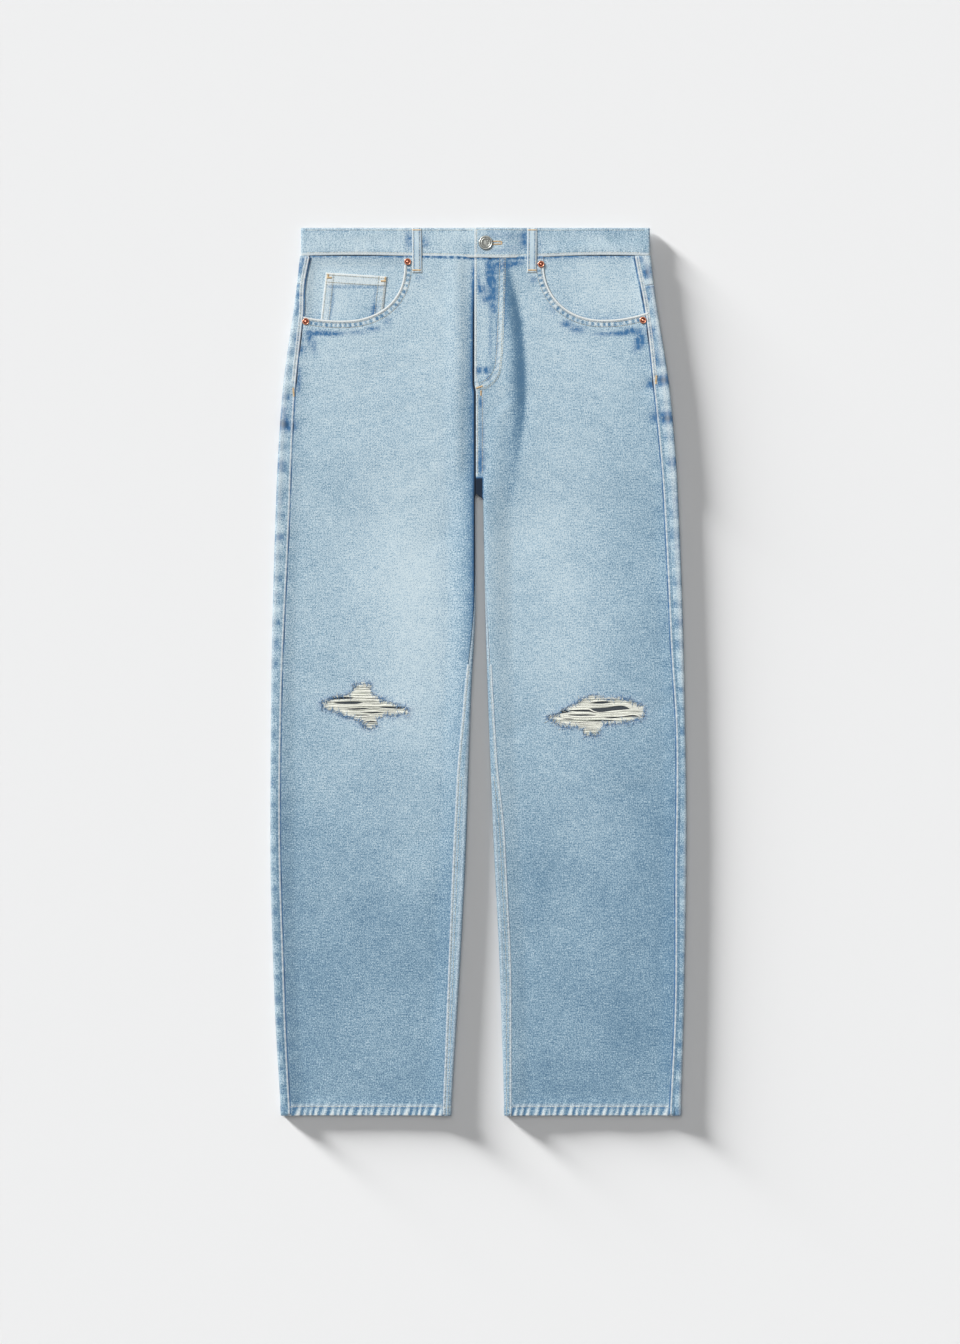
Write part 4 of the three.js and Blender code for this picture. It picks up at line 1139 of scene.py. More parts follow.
def front_grid(side, ys):
    """Places on a front panel from its inner end, where they lie closer, to the side seam."""
    seam = side_seam_x(side, ys) - HALF_GAP
    quarter = inner_fold(ys) * math.pi / 2
    start = through(side["inseam"], ys) + HALF_GAP
    leg_total = quarter + (seam - inner_centre(side, ys)) - start
    end = through(side["centre_edge"], ys)
    near = np.arange(0, NEAR_LENGTH, NEAR_STEP)
    spread = np.linspace(0, 1, FAR_COLUMNS)

    def laid(total):
        far = NEAR_LENGTH + (total[:, None] - NEAR_LENGTH) * spread
        return np.concatenate([np.repeat(near[None, :], len(ys), axis=0), far], axis=1)

    leg_d, seat_d = laid(leg_total), laid(seam - end)
    Y = np.repeat(ys[:, None], leg_d.shape[1], axis=1)
    leg_x, leg_z = inner_walk(side, Y, start[:, None] + leg_d)
    seat_x = end[:, None] + seat_d
    seat_z = front_height(side, Y, seat_x)
    share = smooth((Y - CROTCH_Y) / (SEAT_START - CROTCH_Y))
    X = leg_x * (1 - share) + seat_x * share
    z = leg_z * (1 - share) + seat_z * share
    return X, Y, z, leg_d * (1 - share) + seat_d * share


def hem_roping(side, x, y):
    """The slanting ridges that form where a turned hem is pulled askew by its stitching."""
    lean = (x - 0.25 * (y - HEM_Y)) / 1.3
    uneven = 0.75 + 0.35 * ripple(81 + side["sign"], 9)(x)
    return np.sin(lean + 1.5 * ripple(83 + side["sign"], 17)(x)) * uneven


def front_relief(side, x, y, X):
    """Small rises of the finished panel: puckers by the side seam and the turned, roped hem."""
    seam = side_seam_x(side, y) - X
    hem = smooth((HEM_DEPTH - (y - HEM_Y)) / 1.5)
    roping = hem_roping(side, x, y) * bell(y - HEM_Y - 4, 9)
    return pucker_along(side, y, seam) + 0.55 * hem + 0.30 * roping


FLY_SPOTS = [
    (14, 484, 5.5, 11, 0.95), (15, 468, 5.5, 10, 1.00), (4, 458, 5, 6, 0.70), (10, 446, 6, 5, 0.75),
    (18, 452, 4.5, 9, 0.8), (18, 436, 3.5, 9, 0.55), (34, 488, 12, 4, 0.80), (26, 484, 6, 5, 0.5),
    (46, 490, 10, 3, 0.55), (0, 361, 5, 4, 0.80), (10, 361, 4, 4, 0.75), (12, 352, 3, 4, 0.4),
    (32, 440, 2, 30, 0.35), (14, 400, 1.5, 34, 0.35), (22, 400, 2, 40, 0.35), (3, 322, 3, 6, 0.7),
    (0, 470, 2, 12, 0.45), (4, 285, 3, 30, 0.45), (3, 250, 4, 14, 0.85),
]
POCKET_SPOTS = [
    (-192, 406, 12, 3.2, 0.85), (-172, 405, 12, 2.8, 0.70), (-146, 407, 10, 2.4, 0.50),
    (-126, 411, 9, 3, 0.60), (-110, 420, 5, 5, 0.40), (-98, 444, 3, 9, 0.40), (-86, 470, 3, 8, 0.5),
    (-203, 400, 3, 8, 0.75), (-197, 390, 3, 9, 0.55), (186, 409, 10, 3.0, 1.00),
    (170, 406, 12, 2.8, 0.75), (148, 405, 10, 2.4, 0.50), (118, 410, 8, 4, 0.70),
    (106, 417, 7, 4, 0.75), (90, 438, 4, 8, 0.55), (80, 462, 3, 9, 0.55), (76, 478, 3, 6, 0.6),
    (194, 398, 4, 7, 0.85), (66, 470, 4, 4, 0.55), (-70, 472, 5, 3, 0.35), (190, 388, 4, 5, 0.6),
]

# Faint pale lines fanning out from the fly, each with a darker one beside it: ends and half width.
WHISKERS = [
    ((-50, 392), (-190, 372), 4.0), ((-48, 350), (-160, 330), 5.0), ((-60, 322), (-150, 300), 5.0),
    ((76, 396), (150, 384), 4.0), ((70, 350), (180, 336), 5.0), ((66, 300), (150, 282), 6.0),
    ((-30, 300), (-90, 262), 6.0), ((-34, 250), (-96, 212), 7.0), ((30, 256), (96, 222), 7.0),
]

# The fly is sewn down by a double row and a single one inside it, which curve into the centre
# seam, with a puffed band between them.
FLY_CURVE = [(32.4, 496), (31.4, 450), (30, 410), (28.6, 380), (26.5, 360), (23.4, 351.5),
             (18.2, 345.5), (12.6, 341.4), (7.2, 338.8), (-2.4, 337.4)]
FLY_INNER = [(25.6, 496), (24.4, 450), (23, 410), (21.6, 384), (19.6, 366), (17, 358.6),
             (13.2, 353), (9, 349.4), (4.6, 347.2), (-1.6, 346.2)]
FLY_MIDDLE = (np.array(FLY_CURVE) + np.array(FLY_INNER)) / 2

band_puckers = ripple(77, 3.6)
fly_puff = ripple(79, 2.9)


def hem_wash(side, x, y, tone, blue, worn):
    """Roped hems are rubbed pale on their ridges and stay blue between them."""
    hem = smooth((HEM_DEPTH + 1 - (y - HEM_Y)) / 1.5)
    rope = hem_roping(side, x, y)
    near_hem = bell(y - HEM_Y - 4, 9)
    tone = tone + near_hem * (0.66 * rope + 0.10) + 0.06 * hem
    blue = blue + 0.55 * np.clip(-rope - 0.1, 0, 1) * bell(y - HEM_Y - 6, 6)
    worn = worn + 1.1 * bell(y - HEM_Y, 2.6) * np.clip(rope + 0.2, 0, 1)
    worn = worn + 0.60 * np.clip(rope - 0.1, 0, 1) * bell(y - HEM_Y - 6, 5)
    worn = worn + 0.40 * bell(y - HEM_Y - 11.8, 1.0)
    tone = tone - 0.30 * bell(y - HEM_Y - 9.4, 1.1)
    blue = blue + 0.30 * bell(y - HEM_Y - 9.4, 1.1)
    return tone, blue, worn


def fly_wash_and_crease_shade(x, y, tone, blue, worn):
    """The right front: painted shade along the long crease beside the fly, the fly's worn edge, and its
    puffed rows with painted shade in the grooves beside them.
    """
    # Painted shade: the crease beside the fly is darkened and made a little bluer, fading wider to its
    # left.
    crease_x = through([(215, 40), (270, 47), (330, 53), (400, 50), (482, 34)], y)
    depth = through([(190, 0), (250, 0.14), (300, 0.30), (350, 0.52), (400, 0.50), (470, 0.34),
                     (497, 0.12)], y)
    gap = x - crease_x
    shade = np.where(gap > 0, np.exp(-(gap / 4.0) ** 2), np.exp(-(gap / 11.0) ** 2))
    tone = tone - 1.75 * depth * shade
    blue = blue + 0.30 * depth * shade
    fly = smooth((y - 344) / 12)
    worn = worn + 0.85 * bell(x - FLY_EDGE - 0.4, 1.1) * fly
    tone = tone + 0.10 * fly * bell(x - 27, 4) + 0.10 * fly * bell(x - 6, 4)
    tone = tone - 0.12 * fly * (bell(x - 16, 2.0) + 0.7 * bell(x - 35, 2.0))
    to_rows = np.abs(outline_distance(FLY_MIDDLE, x, y, closed=False)[0])
    puff = fly_puff(y - 0.8 * x)
    # The darker lines either side of the puffed band are painted shade in the grooves beside the rows.
    tone = tone + (0.16 + 0.30 * puff) * bell(to_rows, 2.6) - 0.26 * bell(to_rows - 4.6, 1.1)
    worn = worn + 0.45 * np.clip(puff, 0, 1) * bell(to_rows, 2.4)
    below = (1 - fly) * smooth((y - 234) / 3)
    rib = inner_pucker(y * 5.3)
    worn = worn + below * (0.70 * bell(x + 2.2, 0.9) + 0.30 * bell(x - 5, 1.0) * (1 + rib))
    tone = tone + below * (0.14 * rib - 0.10) * bell(x - 1.5, 3)
    return tone, blue, worn


def valley_shade_and_indigo(x, y, tone, blue):
    """The left front: it sinks to the fly's edge and is painted dark there, partly painted shade in the
    valley and partly indigo that the wash did not reach.
    """
    reach = x - through([(206, -3.6), (334, -3.6), (346, -5.4), (499, -5.4)], y)
    valley = through([(214, 0.9), (300, 1.0), (420, 0.85), (470, 0.45), (492, 0.15)], y)
    spread = through([(206, 10), (330, 8), (440, 5), (492, 3)], y)
    # Painted shade and unwashed indigo: darker towards the fly's edge, with a deep blue line right at
    # it.
    tone = tone - 0.78 * valley * np.exp(reach / spread)
    blue = blue + valley * (2.1 * np.exp(-((reach + 0.5) / 2.1) ** 2)
                            + 0.50 * np.exp(reach / spread))
    return tone, blue


def front_wash_and_shade(side, x, y, X, to_rip):
    """Wash of a front panel: whiskers, puckered seams, blue patches, torn rim, hem and fly, with
    painted shade over the legs, beside the fly and in the crotch cleft.
    """
    tone = wash_and_shade_tone(x, y)
    for (x0, y0), (x1, y1), width in WHISKERS:
        dx, dy = x1 - x0, y1 - y0
        t = np.clip(((x - x0) * dx + (y - y0) * dy) / (dx * dx + dy * dy), 0, 1)
        off = np.hypot(x - x0 - t * dx, y - y0 - t * dy)
        tone = tone + 0.035 * bell(off, width) - 0.03 * bell(off - 1.8 * width, width)
    seam = side_seam_x(side, y) - X
    level = pucker_level(side, y)
    tone = tone + (0.10 * level - 0.05) * np.exp(-seam / 7.0)
    blue = np.minimum(1.35 * blue_patch(x, y, FLY_SPOTS + POCKET_SPOTS + SIDE_SPOTS), 1.0)
    blue = blue + 0.26 * np.clip(-level, 0, 1) * np.exp(-seam / 4.0)
    worn = 0.40 * bell(seam, 1.6) + 0.15 * np.exp(-to_rip / 1.5) + 0.05 * np.exp(-to_rip / 8.0)
    blue = blue + 0.55 * np.exp(-to_rip / 2.2)
    tone = tone + 0.05 * np.exp(-to_rip / 14.0)
    tone, blue, worn = hem_wash(side, x, y, tone, blue, worn)
    seam_line = band_low(x) - y
    blue = blue + 1.45 * np.exp(-((seam_line - 0.6) / 1.5) ** 2) * (0.8 + 0.4 * band_puckers(x))
    tone = tone + 0.10 * band_puckers(x + 50) * np.exp(-seam_line / 7)
    if side["sign"] > 0:
        tone, blue, worn = fly_wash_and_crease_shade(x, y, tone, blue, worn)
    else:
        tone, blue = valley_shade_and_indigo(x, y, tone, blue)
    # Painted shade and unwashed indigo in the crotch cleft, where the back's fork shows between the
    # legs below the fly.
    deep = 1 - smooth((y - 231.5) / 2.4)
    cleft = deep * smooth((y - 203) / 3) * (1 - smooth((np.abs(x - 0.6) - 4.2) / 1.4))
    blue = blue * (1 - cleft) + 2.0 * cleft
    tone = tone - 0.5 * cleft
    worn = worn * (1 - cleft)
    return tone, blue, worn


def front_top(side, x, y):
    """Height of the finished front surface at a place in plan, for what is sewn onto it."""
    x, y = np.asarray(x, float), np.asarray(y, float)
    X = side["sign"] * x
    lean = front_height(side, y, X + 0.5) - front_height(side, y, X - 0.5)
    upper_face = front_height(side, y, X) + thickness(y) / 2 * np.hypot(1, lean)
    return upper_face + front_relief(side, x, y, X)


def on_front(side, lift=0.0):
    """The height at which something is sewn onto a front panel, as a function of its place."""
    return lambda x, y: front_top(side, x, y) + lift


STRIP_WALL = 0.7


def sewn_strip(name, side, path, offsets, rise, wash, step):
    """A narrow strip lying along a seam; offsets run across it, to the left of the path."""
    at, middle, left = even_places(path, step)
    S, A = np.meshgrid(at, offsets, indexing="ij")
    x = middle[:, :1] + left[:, :1] * A
    y = middle[:, 1:] + left[:, 1:] * A
    z = front_top(side, x, y) + rise(S, A)
    uv = np.stack([A + 60, S + 1300], axis=-1)
    strip = weld_grid(name, np.stack([x, y, z], axis=-1), uv, paint(*wash(S, A, x, y)),
                      wall=STRIP_WALL)
    return strip


SCOOP_ROWS = (2.9, 8.3)
SEAM_START = HEM_Y + 1.5
SIDE_SEAM_END = 497
INSEAM_END = 12.0


def scoop_seam(side):
    """The bound edge of the pocket opening, turned and stitched twice."""
    name, sign = side["name"], side["sign"]
    path = scoop_edge(side)
    path = path[path[:, 1] < BAND_LOW - 0.9]
    path = path[np.abs(path[:, 0]) < through(side["outer"], 420) - 13]
    rope = ripple(201 + sign, 3.0)
    step_shade_ripple = ripple(203 + sign, 3.8)

    def rise(S, A):
        off = -A * sign
        up = 0.30 + 0.80 * bell(off - 0.9, 1.0) - 0.34 * bell(off - 2.9, 0.6)
        up = up + 0.26 * rope(S - 300) * bell(off - 5.4, 2.0) - 0.30 * bell(off - 8.3, 0.5)
        return up - 0.7 * smooth((off - 8.6) / 1.2) - 0.9 * smooth((-0.1 - off) / 0.6)

    def wash(S, A, x, y):
        off = -A * sign
        swell, low = rope(S - 300), step_shade_ripple(S - 300)
        middle = bell(off - 5.6, 2.0)
        tone = 0.50 + 0.50 * swell * middle + 0.14 * bell(off - 9.4, 1.0)
        worn = 1.25 * bell(off - 0.8, 1.15) + 0.85 * np.clip(swell, 0, 1) * middle
        blue = 0.60 * np.clip(-swell, 0, 1) * middle + 0.60 * bell(off - 2.9, 0.6)
        # Painted shade: a blue line where the strip steps down onto the panel.
        blue = blue + 0.55 * bell(off - 8.4, 1.0) * np.clip(0.6 + low, 0, 1)
        return tone, blue, worn

    strip = sewn_strip(f"scoop_edge_{name}", side, path, np.linspace(-0.6, 9.9, 16) * -sign, rise,
                       wash, step=1.15)
    rows = []
    for number, off in enumerate(SCOOP_ROWS):
        rows += stitches(path, on_front(side, 0.12), seed=210 + number + sign, shift=-off * sign,
                         pitch=2.9)
    return strip, rows


def side_seam(side):
    """The outseam: a worn ridge with the blue kept in the groove beside it."""
    name, sign = side["name"], side["sign"]
    ys = np.arange(SEAM_START, SIDE_SEAM_END, 4.0)
    path = np.stack([sign * side_seam_x(side, ys), ys], axis=1)
    wobble = ripple(221 + sign, 4.5)
    slow = ripple(223 + sign, 30)

    def rise(S, A):
        out = -A * sign
        up = 0.22 + 0.5 * bell(out - 0.5, 0.8) + 0.12 * wobble(S - 600) * bell(out - 2, 2)
        up = up + 0.35 * bell(out - 3.6, 0.8) * smooth((S + HEM_Y - 336) / 6)
        return up - 0.7 * smooth((np.abs(out - 1.2) - 3.0) / 0.9)

    def wash(S, A, x, y):
        out = -A * sign
        above = smooth((y - 342) / 6)
        swell = wobble(S - 600)
        worn = (0.95 + 0.25 * swell) * bell(out - 0.5, 0.8) * (0.8 + 0.25 * above)
        worn = worn + (0.70 + 0.2 * swell) * above * bell(out - 3.6, 0.75)
        dark = bell(out + 1.4, 1.1) * (0.75 + 0.35 * slow(S - 600)) * (0.9 + 0.35 * above)
        tone = wash_and_shade_tone(x, y) - 0.08 + 0.12 * swell
        blue = 1.6 * dark + 0.8 * blue_patch(x, y, SIDE_SPOTS) + 0.35 * above * bell(out - 2, 0.7)
        return tone, blue, worn

    offsets = np.linspace(-3.0, 5.4, 15) if sign < 0 else np.linspace(-5.4, 3.0, 15)
    strip = sewn_strip(f"side_seam_{name}", side, path, offsets, rise, wash, step=2.2)
    upper = path[path[:, 1] > 346]
    rows = stitches(upper, on_front(side, 0.1), seed=230 + sign, shift=-sign * 2.2, pitch=3.2)
    return strip, rows


def inseam(side):
    """The felled inside-leg seam: a worn ridge and a row of stitches, two below the knee."""
    name, sign = side["name"], side["sign"]
    ys = np.arange(SEAM_START, INSEAM_END, 4.0)
    X = through(side["inner"], ys) + through(side["inseam"], ys)
    path = np.stack([sign * X, ys], axis=1)
    wobble = ripple(241 + sign, 3.6)

    def rise(S, A):
        inward = A * sign
        up = 0.20 + 0.45 * bell(inward - 0.4, 0.8) + 0.14 * wobble(S - 600) * bell(inward - 2.5, 2)
        return up - 0.7 * smooth((np.abs(inward - 1.0) - 2.2) / 0.9)

    def wash(S, A, x, y):
        inward = A * sign
        swell = wobble(S - 600)
        worn = (0.70 + 0.35 * swell) * bell(inward - 0.4, 0.8)
        tone = wash_and_shade_tone(x, y) - 0.02 + 0.18 * swell * bell(inward - 2.4, 2)
        blue = 0.55 * bell(inward + 1.1, 0.9) * (0.6 + 0.5 * swell)
        return tone, blue, worn

    strip = sewn_strip(f"inseam_{name}", side, path, np.linspace(-2.4, 4.2, 12), rise, wash, step=2.2)
    rows = stitches(path, on_front(side), seed=250 + sign, shift=2.0 * sign)
    wide = path[path[:, 1] < -120]
    rows += stitches(wide, on_front(side), seed=253 + sign, shift=5.4 * sign)
    return strip, rows


HEM_ROW = HEM_Y + 10.6
FLY_ROWS = [
    (FLY_CURVE, 0.0), (FLY_CURVE, -1.6), (FLY_INNER, 0.0), ([(-2.9, 496), (-2.9, 348)], 0.0),
    ([(-1.4, 333), (-1.4, 236)], 0.0), ([(4.6, 331), (4.6, 236)], 0.0),
]
SIDE_BARS = {"left": (221.8, 335, 94), "right": (213.0, 350, 86)}
FAR_OUT = 260
torn = {}
for side in (LEFT, RIGHT):
    name = side["name"]
    torn[name] = torn_outline(name)
    ys = np.concatenate([np.arange(HEM_Y, HEM_Y + 14, 1.4), np.arange(HEM_Y + 15, -94, 2.9),
                         np.arange(-92, 0, 1.5), np.arange(2, 196, 2.9), np.arange(197, 244, 1.6),
                         np.arange(245.5, 404, 2.2), np.arange(405.5, 490, 1.9),
                         np.arange(491, BAND_LOW - 0.6, 1.2), [BAND_LOW - 2 * HALF_GAP]])
    X, Y, z, walked = front_grid(side, ys)
    fx, fz, nX, nz = outer_faces(Y, X, z)
    x = side["sign"] * fx
    rise = front_relief(side, x, Y, X)
    x, fz = x + side["sign"] * nX * rise, fz + nz * rise
    points = np.stack([x, Y, fz], axis=-1)
    keep = np.ones((len(ys) - 1, X.shape[1] - 1), bool)
    far_x = FAR_OUT * side["sign"]
    edge = scoop_edge(side)
    scoop = np.vstack([edge, [[far_x, edge[-1, 1]], [far_x, SCOOP_TOP]]])
    keep, to_scoop = cut_hole(points, keep, scoop, 6)
    keep, to_rip = cut_hole(points, keep, torn[name], 30)
    x, Y = points[..., 0], points[..., 1]
    points[..., 2] += 0.9 * np.exp(-to_rip / 3.0) * (0.3 + np.abs(small_slack(x * 3, Y * 3)))
    tone, blue, worn = front_wash_and_shade(side, x, Y, side["sign"] * x, to_rip)
    worn = worn + 0.25 * np.exp(-to_scoop / 2.0)
    uv = np.stack([walked + 350 * (side["sign"] > 0), Y + 600], axis=-1)
    looks = np.stack([side["sign"] * nX, np.zeros_like(nX), nz], axis=-1)
    piece = weld_grid(f"denim_front_{name}", points, uv, paint(tone, blue, worn), looks, keep)
    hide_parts(f"front_{name}")

    sewn, rows = [], []
    for seam in (scoop_seam, side_seam, inseam):
        strip, more = seam(side)
        sewn.append(strip)
        rows += more
    hem_line = [(side["sign"] * 32, HEM_ROW), (side["sign"] * 228, HEM_ROW)]
    rows += stitches(hem_line, on_front(side), seed=260)
    bar_x, bar_y, bar_angle = SIDE_BARS[name]
    bars = bartack(side["sign"] * bar_x, bar_y, 10, 2.2, bar_angle, on_front(side, 0.7), 262)
    if side["sign"] > 0:
        for number, (path, shift) in enumerate(FLY_ROWS):
            rows += stitches(path, on_front(side), seed=263 + number, shift=shift, pitch=2.9)
        bars += bartack(1.0, 341.0, 8, 2.2, 20, on_front(side, 0.2), 269)
        bars += bartack(3.0, 334.0, 6, 2.0, 90, on_front(side, 0.2), 270)
    sewn.append(strands(f"front_stitching_{name}", rows, faded_thread))
    sewn.append(strands(f"front_bartacks_{name}", bars, tan_thread))

# ------------------------------------------------------------------ waistband
# One folded strip all round, its upper end lapped over the under end at the fly. Both long edges
# are turned and topstitched; the buttonhole is cut through the upper end only.

BAND_WALL = 2.6
BAND_DEPTH = 33
BAND_HALF = BAND_WALL / 2 - 0.35
BAND_BACK_Z = SEAT_LIFT + BAND_WALL / 2
BAND_FRONT_Z = BAND_BACK_Z + BAND_WALL + 0.7
BAND_UNDER_Z = BAND_BACK_Z + BAND_WALL + 0.3
BAND_OVER_Z = BAND_UNDER_Z + BAND_WALL + 0.3
BAND_ENDS = (-213.0, 205.8)
BUTTON_X, BUTTON_Y = 8.6, 513.8


def band_middle(x):
    """Height of the band's front run at a place across the garment."""
    right = BAND_FRONT_Z + (BAND_OVER_Z - BAND_FRONT_Z) * smooth((58 - x) / 26)
    left = BAND_FRONT_Z + (BAND_UNDER_Z - BAND_FRONT_Z) * smooth((x + 30) / 24)
    return np.where(x >= FLY_EDGE, right, left)


def band_course():
    """The band seen from its top edge: under end, left front, back, right front, upper end.

    Gives its places and the number at which the right front starts.
    """
    radius = (BAND_FRONT_Z - BAND_BACK_Z) / 2
    left = BAND_ENDS[0] + BAND_WALL / 2 + radius
    right = BAND_ENDS[1] - BAND_WALL / 2 - radius
    turn = np.linspace(0, math.pi, 12)
    run = np.arange(28, left, -1.9)
    under_z = np.where(run > FLY_EDGE, BAND_UNDER_Z, band_middle(np.minimum(run, FLY_EDGE - 0.1)))
    left_x = left - radius * np.sin(turn)
    left_z = BAND_BACK_Z + radius + radius * np.cos(turn)
    back_x = np.arange(left + 3, right - 2, 4.0)
    right_x = right + radius * np.sin(turn)
    right_z = BAND_BACK_Z + radius - radius * np.cos(turn)
    over = np.append(np.arange(right - 2, FLY_EDGE, -1.9), FLY_EDGE)
    x = np.concatenate([run, left_x, back_x, right_x, over])
    z = np.concatenate([under_z, left_z, np.full_like(back_x, BAND_BACK_Z), right_z,
                        band_middle(over)])
    return x, z, len(x) - len(over)


BAND_SPOTS = [
    (-83, 517, 5.5, 10, 0.80), (-66, 513, 6, 5, 0.60), (-64, 520, 4, 9, 0.30),
    (55, 518, 6, 11, 0.85), (73, 512, 4, 12, 0.30), (36, 522, 12, 5, 0.35),
    (40, 508, 10, 5, 0.30), (18, 524, 8, 5, 0.35), (26, 504, 16, 3, 0.35), (1, 508, 4, 8, 0.25),
    (-180, 528, 30, 4, 0.10), (150, 528, 40, 4, 0.10),
]
band_slack = patchy(93, 26)
band_rib = ripple(94, 5.2)
band_rib_top = ripple(95, 7.5)


def band_relief(x, across):
    """Rise over the flat band; across is 0 at the lower edge and 1 at the top one."""
    from_low = across * BAND_DEPTH
    from_top = (1 - across) * BAND_DEPTH
    rise = 0.35 - 0.75 * np.exp(-(from_low / 1.1) ** 2) - 0.85 * np.exp(-(from_top / 1.2) ** 2)
    rise = rise - 0.30 * bell(from_low - 3.4, 0.9) - 0.22 * bell(from_top - 3.2, 0.8)
    rise = rise + 0.14 * band_rib(x) * bell(from_low - 4, 5)
    rise = rise + 0.12 * band_rib_top(x) * bell(from_top - 2, 5)
    return rise + 0.30 * band_slack(x, from_low * 3) * np.sin(np.pi * np.clip(across, 0, 1))


course_x, course_z, over_start = band_course()
across = np.concatenate([[0, 0.02, 0.045], np.linspace(0.08, 0.93, 17), [0.955, 0.98, 1.0]])
along_x, along_z = np.gradient(course_x), np.gradient(course_z)
along_x[over_start] = -1.0
length = np.hypot(along_x, along_z)
out_x, out_z = along_z / length, -along_x / length
P, A = np.meshgrid(np.arange(len(course_x)), across, indexing="ij")
low = band_low(course_x)[P]
Y = low + (BAND_TOP - low) * A
rise = band_relief(course_x[P], A)
upper_side = out_z[P] > 0.2
rise = np.where(upper_side, rise, 0.2)
x = course_x[P] + out_x[P] * (BAND_HALF + rise)
z = course_z[P] + out_z[P] * (BAND_HALF + rise)
travelled = np.concatenate([[0], np.cumsum(np.hypot(np.diff(course_x), np.diff(course_z)))])
keep = np.ones((len(course_x) - 1, len(across) - 1), bool)
points = np.stack([x, Y, z], axis=-1)
slot_turn = np.linspace(0.33, 2 * math.pi - 0.33, 22)
buttonhole = np.vstack([np.stack([BUTTON_X + 3.2 * np.cos(slot_turn),
                                  BUTTON_Y + 3.2 * np.sin(slot_turn)], axis=1),
                        [[27.0, BUTTON_Y - 0.8], [27.0, BUTTON_Y + 0.8]]])
keep[over_start:] = cut_hole(points[over_start:], keep[over_start:], buttonhole, 4)[0]
x, Y = points[..., 0], points[..., 1]
from_low, from_top = Y - low, BAND_TOP - Y
tone = 0.72 + 0.06 * band_slack(x + 31, Y * 2) + 0.07 * patchy(96, 14)(x, Y)
# Painted shade: the band is made darker towards the right, for light falling from the left.
tone = tone - 0.07 * smooth(x / 60) + 0.10 * band_rib(x) * bell(from_low - 4, 5)
tone = tone + 0.10 * band_rib_top(x) * bell(from_top - 2, 4) - 0.12 * bell(from_top - 3.6, 1.0)
tone = tone - 0.14 * bell(from_low - 4.6, 0.9) + 0.05 * bell(from_low - 9, 5)
for end in reversed(BAND_ENDS):
    tone = tone - 0.10 * np.exp(-np.abs(x - end) / 8)
blue = blue_patch(x, Y, BAND_SPOTS) * upper_side
blue = blue + 0.25 * np.clip(-band_rib_top(x), 0, 1) * bell(from_top - 2, 2)
worn = 0.75 * bell(from_low - 1.6, 1.5) + 0.35 * np.exp(-from_top / 0.8)
worn = worn + 0.80 * (P >= over_start) * bell(x - FLY_EDGE, 1.6)
tone = np.where(upper_side, tone, 0.55)
uv = np.stack([Y - 300, travelled[P] + 900], axis=-1)
looks = np.stack([out_x[P], 0 * x, out_z[P]], axis=-1)
band = weld_grid("denim_waistband", points, uv, paint(tone, blue, worn), looks, keep, wall=2.1)
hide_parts("waistband")


def band_top(x, y):
    """Height of the waistband's front face, for what is sewn onto it."""
    x, y = np.asarray(x, float), np.asarray(y, float)
    low = band_low(x)
    across = np.clip((y - low) / (BAND_TOP - low), 0, 1)
    return band_middle(x) + BAND_HALF + band_relief(x, across)


LOWER_ROW = 3.4
UPPER_ROW = BAND_TOP - 2.7
BAND_ROWS = [
    [(x, band_low(x) + LOWER_ROW) for x in np.arange(-206, -5, 6.0)],
    [(x, band_low(x) + LOWER_ROW) for x in np.arange(-2, 202, 6.0)],
    [(-208, UPPER_ROW), (-5.6, UPPER_ROW)],
    [(-2.4, UPPER_ROW), (202, UPPER_ROW)],
    [(-2.2, BAND_TOP - 2), (-2.2, BAND_LOW + 1)],
]
rows = []
for number, path in enumerate(BAND_ROWS):
    rows += stitches(path, band_top, seed=301 + number)
_, middle, left = even_places(np.vstack([buttonhole, buttonhole[:1]]), 0.5)
sealed = []
rng = np.random.default_rng(306)
for (px, py), (lx, ly) in zip(middle, left):
    out = np.array([-0.25, 0.35, 1.2, 1.7]) * rng.uniform(0.85, 1.1)
    qx, qy = px - lx * out, py - ly * out
    qz = band_top(qx, qy) + np.array([-0.3, 0.35, 0.35, -0.1])
    sealed.append((np.stack([qx, qy, qz], axis=-1), 0.27, rng.uniform(0.0, 0.7)))
sealed += bartack(27.6, BUTTON_Y, 3.4, 1.8, 90, band_top, 307)
sewing = strands("band_stitching", rows, faded_thread)
rimmed = strands("buttonhole_stitching", sealed, tan_thread)

# ------------------------------------------------------------------ belt loops
# Narrow folded strips. The two in front bridge the waistband, with a bar of tan thread across
# each end; the three at the back lie pressed under it.

LOOP_WIDTH = 11.5
LOOP_LOW, LOOP_HIGH = 478.2, 531.8
LOOP_LIFT = BAND_FRONT_Z + BAND_WALL / 2 + 0.25
loop_look = denim_material("loop_denim", grain=0.22)


def loop_rest(y):
    """Height of the loop's underside: it bows up a little over the waistband."""
    return LOOP_LIFT + 0.9 * np.sin(np.pi * smooth((y - LOOP_LOW - 6) / 44))


def loop_top(x, y):
    return loop_rest(np.asarray(y)) + 1.0


